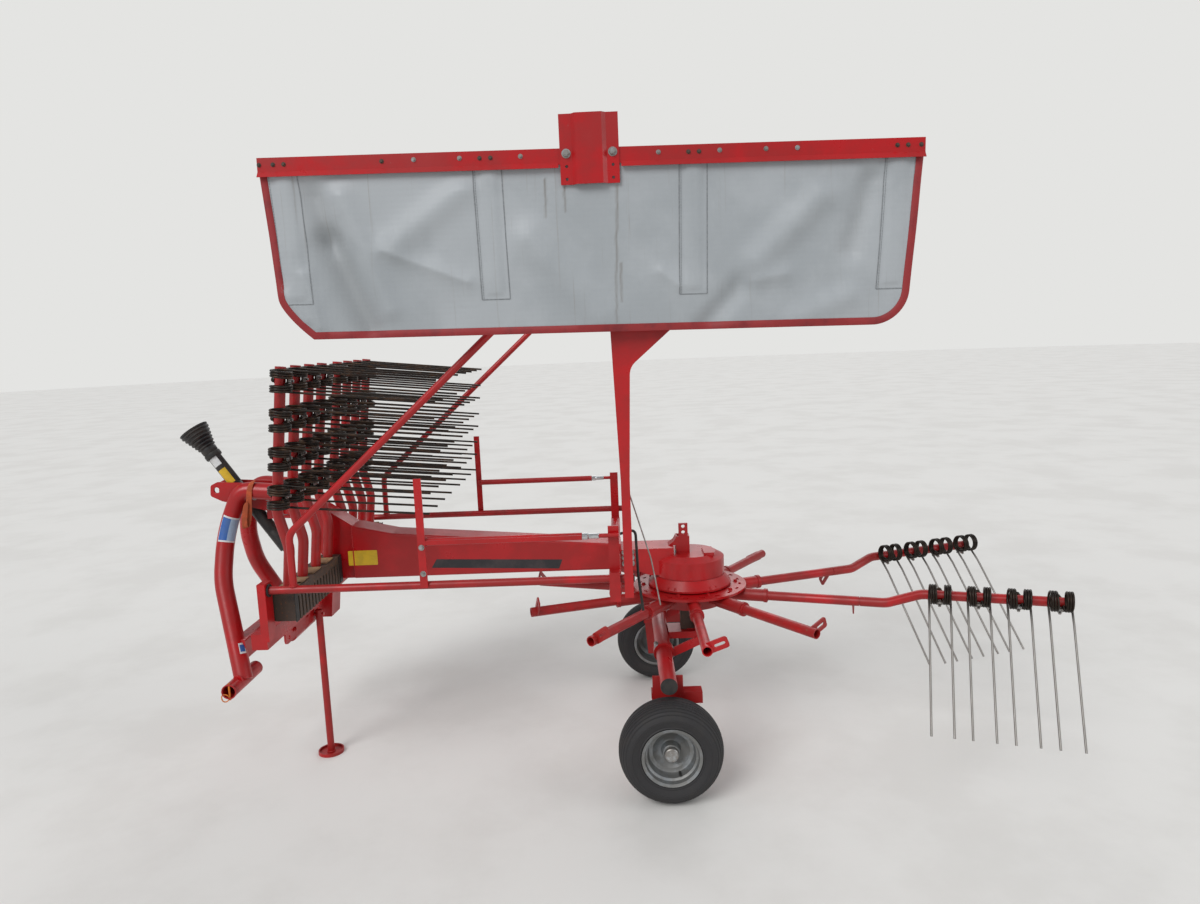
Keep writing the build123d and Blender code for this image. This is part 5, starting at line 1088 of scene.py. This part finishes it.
class RAKE_OT_shaft(bpy.types.Operator):
    """Turn the half shaft's guard with its ribbed bell, and its strap"""

    bl_idname = "rake.shaft"
    bl_label = "Drive shaft"

    def execute(self, context):
        low, top = Vector((-1.800, 0, 0.905)), Vector((-2.154, 0, 1.436))
        place = basis(low, (top - low).normalized(), X)
        self.guard(place, (top - low).length)
        self.labels(place)
        self.strap(place)
        return {"FINISHED"}

    def guard(self, place, length):
        """Ribbed tube and bell, the yoke's stub inside it and the collar at its root"""
        profile = [(0.0, 0.0), (0.020, 0.0), (0.0205, 0.004), (0.0275, 0.006), (0.0280, 0.012)]
        for start in (0.10, 0.24, 0.36):
            profile += [(0.0280, start), (0.0272, start + 0.002), (0.0272, start + 0.006), (0.0280, start + 0.008)]
        neck = length - 0.085
        profile += [(0.0280, neck - 0.020), (0.0335, neck - 0.012), (0.0345, neck + 0.004), (0.0330, neck + 0.010)]
        # Ribs of the bell: each stands 3 mm out of a cone that widens to 116 mm
        for k in range(6):
            start, reach = neck + 0.012 + 0.0155 * k, 0.0350 + 0.0048 * k
            profile += [(reach, start), (reach + 0.0045, start + 0.003), (reach + 0.0045, start + 0.008),
                        (reach + 0.0010, start + 0.011)]
        end = length + 0.0245
        profile += [(0.0640, end - 0.004), (0.0645, end), (0.0610, end), (0.0560, end - 0.030), (0.0330, end - 0.080),
                    (0.0, end - 0.082)]
        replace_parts(lathed("shaft_guard", profile, place, 48, "headstock", "guard", 35), "drive_shaft")
        lathed("shaft_yoke_stub", [(0.0, end - 0.080), (0.021, end - 0.080), (0.021, end - 0.052),
                                   (0.017, end - 0.048), (0.017, end - 0.020), (0.0, end - 0.020)],
               place, 24, "headstock", "dark_plate")
        lathed("shaft_collar", [(0.0350, neck - 0.040), (0.0362, neck - 0.036), (0.0362, neck - 0.022),
                                (0.0350, neck - 0.018), (0.0282, neck - 0.018), (0.0282, neck - 0.040),
                                (0.0350, neck - 0.040)],
               place, 32, "headstock", "nylon")

    def labels(self, place):
        """Blank labels wrapped on the camera's side of the tube"""
        around = [radians(a) for a in range(-40, 41, 10)]
        for name, finish_name, start, end_at in (("shaft_label_yellow", "yellow_plate", 0.375, 0.450),
                                                 ("shaft_label_pale", "white_plate", 0.470, 0.512)):
            bm = bmesh.new()
            rows = [[bm.verts.new(place @ Vector((0.0285 * cos(a), 0.0285 * sin(a), height))) for a in around]
                    for height in (start, end_at)]
            for a in range(8):
                bm.faces.new((rows[0][a], rows[0][a + 1], rows[1][a + 1], rows[1][a]))
            keep_bmesh(name, bm, "headstock", finish_name)

    def strap(self, place):
        """Two turns of webbing round the shaft between the plates, and its loose tail"""
        band = lathed("strap_round_shaft", [(0.0286, 0.301), (0.0325, 0.302), (0.0345, 0.309), (0.0345, 0.321),
                                            (0.0325, 0.328), (0.0286, 0.329), (0.0286, 0.301)],
                      place, 32, "headstock", "strap")
        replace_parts(band, "shaft_strap")
        bm = bmesh.new()
        # Over the left leg's top, down its outer side and back up in a flat loop
        hung = [(-1.880, -0.0840, 1.2355), (-1.884, -0.1050, 1.2300), (-1.888, -0.1220, 1.2050),
                (-1.893, -0.1235, 1.1700), (-1.899, -0.1180, 1.1200), (-1.905, -0.1120, 1.0800),
                (-1.915, -0.1080, 1.0450), (-1.922, -0.1120, 1.0280), (-1.926, -0.1200, 1.0350),
                (-1.924, -0.1230, 1.0650), (-1.915, -0.1255, 1.1050), (-1.905, -0.1265, 1.1500)]
        rows = []
        for x, y, z in hung:
            row = [(x - STRAP_HALF_W, y, z - 0.004), (x + STRAP_HALF_W, y, z + 0.004),
                   (x + STRAP_HALF_W, y - STRAP_T, z + 0.004), (x - STRAP_HALF_W, y - STRAP_T, z - 0.004)]
            rows.append([bm.verts.new(ZERO + Vector(p)) for p in row])
        for low, high in zip(rows, rows[1:]):
            skin(bm, low, high)
        bm.faces.new(rows[0])
        bm.faces.new(rows[-1])
        tail = keep_bmesh("strap_tail", bm, "headstock", "strap", 60)
        smooth = tail.modifiers.new("soft", "SUBSURF")
        smooth.levels = smooth.render_levels = 2


# Along the left and right rails: the two bearings, the rear end, and the strut's chromed end
RAIL_BEARING_XS = (-1.6177, -1.6497)
RAIL_END_X = -0.256
STRUT_END_X = -0.4395
# Strap plates of the rack: height, and distance of its faces from its middle
RACK_STRAP_Z, RACK_STRAP_X = 0.8235, 0.0452
BEAM_FACE = 0.0702
# Headstock leg: place of each corner, from the plates down to the link tube, and the radius of its bend
LEG_BENDS = [(-1.800, 0.084, 1.180, 0), (-1.945, 0.084, 1.196, 0.070), (-2.022, 0.098, 1.010, 0.400),
             (-2.022, 0.170, 0.815, 0.400), (-1.895, 0.333, LINK_Z, 0)]
LEG_R = 0.037


class RAKE_OT_fittings(bpy.types.Operator):
    """Bend the headstock legs and add caps, lids, plates, labels, rods and pins"""

    bl_idname = "rake.fittings"
    bl_label = "Fittings"

    def execute(self, context):
        self.legs()
        self.caps()
        self.rack()
        self.plates()
        self.rods()
        return {"FINISHED"}

    def legs(self):
        """Bent headstock legs, with the blank labels, the foot disc and the linch pin of the left one"""
        for side_name, side in SIDES:
            path = bent([((x, side * y, z), bend) for x, y, z, bend in LEG_BENDS])
            bm = bmesh.new()
            rod(bm, path, LEG_R, 32)
            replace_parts(keep_bmesh(f"bent_leg_{side_name}", bm, "headstock", "enamel", 40),
                        f"headstock_leg_{side_name}")
            lathed(f"foot_disc_{side_name}", [(0.0, 0.0), (0.0190, 0.0), (0.0205, 0.002), (0.0205, 0.006),
                                              (0.0185, 0.008), (0.0100, 0.008), (0.0090, 0.0065), (0.0, 0.0065)],
                   basis(Vector((-1.899, side * 0.373, 0.450)), side * Y), 28, "headstock", "worn_enamel")
            # Linch pin through the mouth of the link tube, its ring hanging forward
            bm = bmesh.new()
            rod(bm, [(-1.905, side * 0.444, 0.464), (-1.905, side * 0.444, 0.394)], 0.0042, 10)
            turns = [2 * pi * (k % 24) / 24 for k in range(25)]
            loop = [(0.0155 * cos(a), 0.0155 * sin(a)) for a in turns]
            rod(bm, [(-1.923 + u, side * (0.446 + 0.25 * abs(v)), 0.404 + v) for u, v in loop], 0.0024, 8)
            keep_bmesh(f"linch_pin_{side_name}", bm, "headstock", "orange", 60)
        left = bent([((x, -y, z), bend) for x, y, z, bend in LEG_BENDS])
        for name, finish_name, top, foot, lift, start, end in (
                ("leg_label_border", "white_plate", 1.085, 0.972, 0.0004, -90, 38),
                ("leg_label_blue", "blue_plate", 1.078, 0.979, 0.0008, -24, 34),
                ("leg_label_pale", "pale_plate", 1.078, 0.979, 0.0008, -86, -24),
                ("leg_sticker_rim", "white_plate", 0.562, 0.522, 0.0004, -86, -40),
                ("leg_sticker", "blue_plate", 0.555, 0.529, 0.0008, -80, -46)):
            stretch = []
            for a, b in zip(left, left[1:]):
                # Each piece of the path is cut at the label's own top and foot
                for z in (top, foot):
                    if b.z < z < a.z:
                        stretch.append(a.lerp(b, (a.z - z) / (a.z - b.z)))
                if foot < b.z < top:
                    stretch.append(b)
            stretch.sort(key=lambda p: -p.z)
            bm = bmesh.new()
            rod(bm, stretch, LEG_R + lift, 12, (radians(start), radians(end)))
            keep_bmesh(name, bm, "headstock", finish_name, 60)

    def caps(self):
        """Black caps of the axle tube and the rails, and the bearings of the rails"""
        for side_name, side in SIDES:
            lathed(f"axle_cap_{side_name}", [(0.0, 0.0), (0.0330, 0.0), (0.0330, 0.003), (0.0310, 0.0065),
                                             (0.0, 0.0075)],
                   basis(Vector((WHEEL_X, side * 0.600, AXLE_TUBE_Z)), side * Y), 36, "frame", "nylon")
            bm = bmesh.new()
            for x in RAIL_BEARING_XS:
                lathe(bm, [(0.0156, -0.0035), (0.0235, -0.0035), (0.0245, -0.0025), (0.0245, 0.0025),
                           (0.0235, 0.0035), (0.0156, 0.0035), (0.0156, -0.0035)],
                      basis(Vector((x, side * GUARD_Y, GUARD_Z)), X), 28)
            bmesh.ops.remove_doubles(bm, verts=bm.verts, dist=1e-6)
            keep_bmesh(f"rail_bearing_{side_name}", bm, "frame", "nylon")
            lathed(f"rail_cap_{side_name}", [(0.0, 0.0), (0.0149, 0.0), (0.0149, 0.002), (0.0135, 0.004),
                                             (0.0, 0.0045)],
                   basis(Vector((RAIL_END_X, side * GUARD_Y, GUARD_Z)), X), 24, f"{side_name}_guard", "nylon")

    def rack(self):
        """Weathered lid and black straps of the arm rack"""
        bm = bmesh.new()
        near, step = RACK_YS[4], RACK_YS[5] - RACK_YS[4]
        for side in (-1, 1):
            # Three lids lie between the four arms, and the last on the outermost arm's foot
            for k, shift in enumerate((0.0725, 0.0725, 0.0725, 0.0)):
                spot = Vector((RACK_X, side * (near + step * k + shift), RACK_TOP + 0.0002))
                slab(bm, rectangle(0.094, 0.072, 0.006), basis(spot, Z, X), 0.004, 0.001)
        keep_bmesh("rack_lid", bm, "frame", "lid")
        bm = bmesh.new()
        for side in (-1, 1):
            for y in (0.078, 0.586):
                for face in (1, -1):
                    spot = Vector((RACK_X + face * RACK_STRAP_X, side * y, RACK_STRAP_Z))
                    slab(bm, rectangle(0.032, 0.118, 0.003), basis(spot, face * X, Z), 0.003, 0.0008)
        keep_bmesh("rack_straps", bm, "frame", "nylon")

    def plates(self):
        """The blank plate and the stripe on the left side of the beam"""
        side = Matrix.Translation(ZERO) @ Matrix.Rotation(pi / 2, 4, "X")
        bm = bmesh.new()
        slab(bm, rectangle(0.129, 0.066, 0.004), side @ Matrix.Translation((-1.4385, 0.868, BEAM_FACE)), 0.0006)
        keep_bmesh("blank_plate", bm, "frame", "yellow_plate")
        bm = bmesh.new()
        outline = [(-1.137, 0.812), (-0.575, 0.789), (-0.559, 0.829), (-1.113, 0.850)]
        slab(bm, outline, side @ Matrix.Translation((0, 0, BEAM_FACE)), 0.0005)
        keep_bmesh("beam_stripe", bm, "frame", "black_stripe")

    def rods(self):
        """The catch's rod and wire on the left, and the chromed ends of the struts"""
        bm = bmesh.new()
        rod(bm, bent([((-0.300, -0.600, 1.062), 0), ((-0.243, -0.600, 1.078), 0.020),
                      ((-0.238, -0.600, 0.900), 0.300), ((-0.224, -0.600, 0.765), 0)]), 0.0052)
        keep_bmesh("black_rod", bm, "frame", "nylon")
        bm = bmesh.new()
        rod(bm, bent([((-0.262, -0.672, 1.230), 0), ((-0.190, -0.640, 0.975), 0.200), ((-0.160, -0.634, 0.795), 0)]),
            0.0026, 8)
        keep_bmesh("catch_wire", bm, "left_guard", "zinc")
        for side_name, side in SIDES:
            lathed(f"strut_end_{side_name}", [(0.0, 0.0), (0.0125, 0.0), (0.0125, 0.020), (0.0100, 0.024),
                                              (0.0100, 0.060), (0.0086, 0.062), (0.0086, 0.0)],
                   basis(Vector((STRUT_END_X, side * GUARD_Y, STRUT_Z)), X), 20, f"{side_name}_guard", "chrome")


class RAKE_OT_stage(bpy.types.Operator):
    """Set the floor, the studio light and the camera"""

    bl_idname = "rake.stage"
    bl_label = "Stage"

    def execute(self, context):
        scene = context.scene
        bm = bmesh.new()
        bmesh.ops.create_circle(bm, cap_ends=True, segments=96, radius=60)
        mesh = bpy.data.meshes.new("studio_floor")
        bm.to_mesh(mesh)
        bm.free()
        floor = bpy.data.objects.new("studio_floor", mesh)
        scene.collection.objects.link(floor)
        mesh.materials.append(finish("pale_studio_floor", scene.rake_colours.floor, "#CFCDC9", 900, 0.4, 0.85, 0.05,
                                     grain=(6, 0.1)))
        world = bpy.data.worlds.new("studio")
        scene.world = world
        world.use_nodes = True
        tree = world.node_tree
        back = tree.nodes["Background"]
        back.inputs["Color"].default_value = linear("#F4F5F7")
        back.inputs["Strength"].default_value = 0.5
        seen = add_node(tree, "ShaderNodeBackground", None, {"Color": linear("#E4E4E2"), "Strength": 1.0})
        rays = add_node(tree, "ShaderNodeLightPath").outputs["Is Camera Ray"]
        mix = add_node(tree, "ShaderNodeMixShader", None, {0: rays, 1: back.outputs[0], 2: seen.outputs[0]})
        tree.links.new(mix.outputs[0], tree.nodes["World Output"].inputs["Surface"])
        # Soft lamps so far away that the floor is lit evenly: name, place, spread in degrees, strength
        for name, place, spread, strength in (("key", (-4.5, -6.5, 6.5), 32, 1.7),
                                              ("side", (6.5, -2.0, 3.0), 40, 0.55),
                                              ("back", (1.0, 7.0, 5.0), 40, 0.6)):
            lamp = bpy.data.lights.new(name, "SUN")
            lamp.energy, lamp.angle = strength, radians(spread)
            light = bpy.data.objects.new(name, lamp)
            light.rotation_euler = (-Vector(place)).to_track_quat("-Z", "Y").to_euler()
            scene.collection.objects.link(light)
        lens = bpy.data.cameras.new("photo_view")
        camera = bpy.data.objects.new("photo_view", lens)
        camera.location = ZERO + Vector((-0.290, -3.604, 1.784))
        camera.rotation_euler = [radians(a) for a in (82.1707, 2.3668, 1.0433)]
        lens.sensor_width, lens.lens = 36, 24.843
        scene.collection.objects.link(camera)
        scene.camera = camera
        scene.view_settings.view_transform = "Standard"
        return {"FINISHED"}


class RAKE_PT_panel(bpy.types.Panel):
    """Sizes, colours and steps of the rake's finish"""

    bl_idname = "RAKE_PT_panel"
    bl_label = "Rotary rake"
    bl_space_type = "VIEW_3D"
    bl_region_type = "UI"
    bl_category = "Rake"

    def draw(self, context):
        for group in (context.scene.rake_sizes, context.scene.rake_colours):
            box = self.layout.box()
            for name in group.__annotations__:
                box.prop(group, name)
        for operator in OPERATORS:
            self.layout.operator(operator.bl_idname)


OPERATORS = (RAKE_OT_stage, RAKE_OT_paint, RAKE_OT_wheels, RAKE_OT_tines, RAKE_OT_curtain, RAKE_OT_fasteners,
             RAKE_OT_welds, RAKE_OT_shaft, RAKE_OT_fittings)
CLASSES = (RakeSizes, RakeColours, *OPERATORS, RAKE_PT_panel)


def register():
    for one in CLASSES:
        bpy.utils.register_class(one)
    bpy.types.Scene.rake_sizes = bpy.props.PointerProperty(type=RakeSizes)
    bpy.types.Scene.rake_colours = bpy.props.PointerProperty(type=RakeColours)


def unregister():
    del bpy.types.Scene.rake_colours
    del bpy.types.Scene.rake_sizes
    for one in reversed(CLASSES):
        bpy.utils.unregister_class(one)


def main():
    """Dresses the frame."""
    register()
    for operator in OPERATORS:
        family, name = operator.bl_idname.split(".")
        getattr(getattr(bpy.ops, family), name)()


if __name__ == "__main__":
    main()
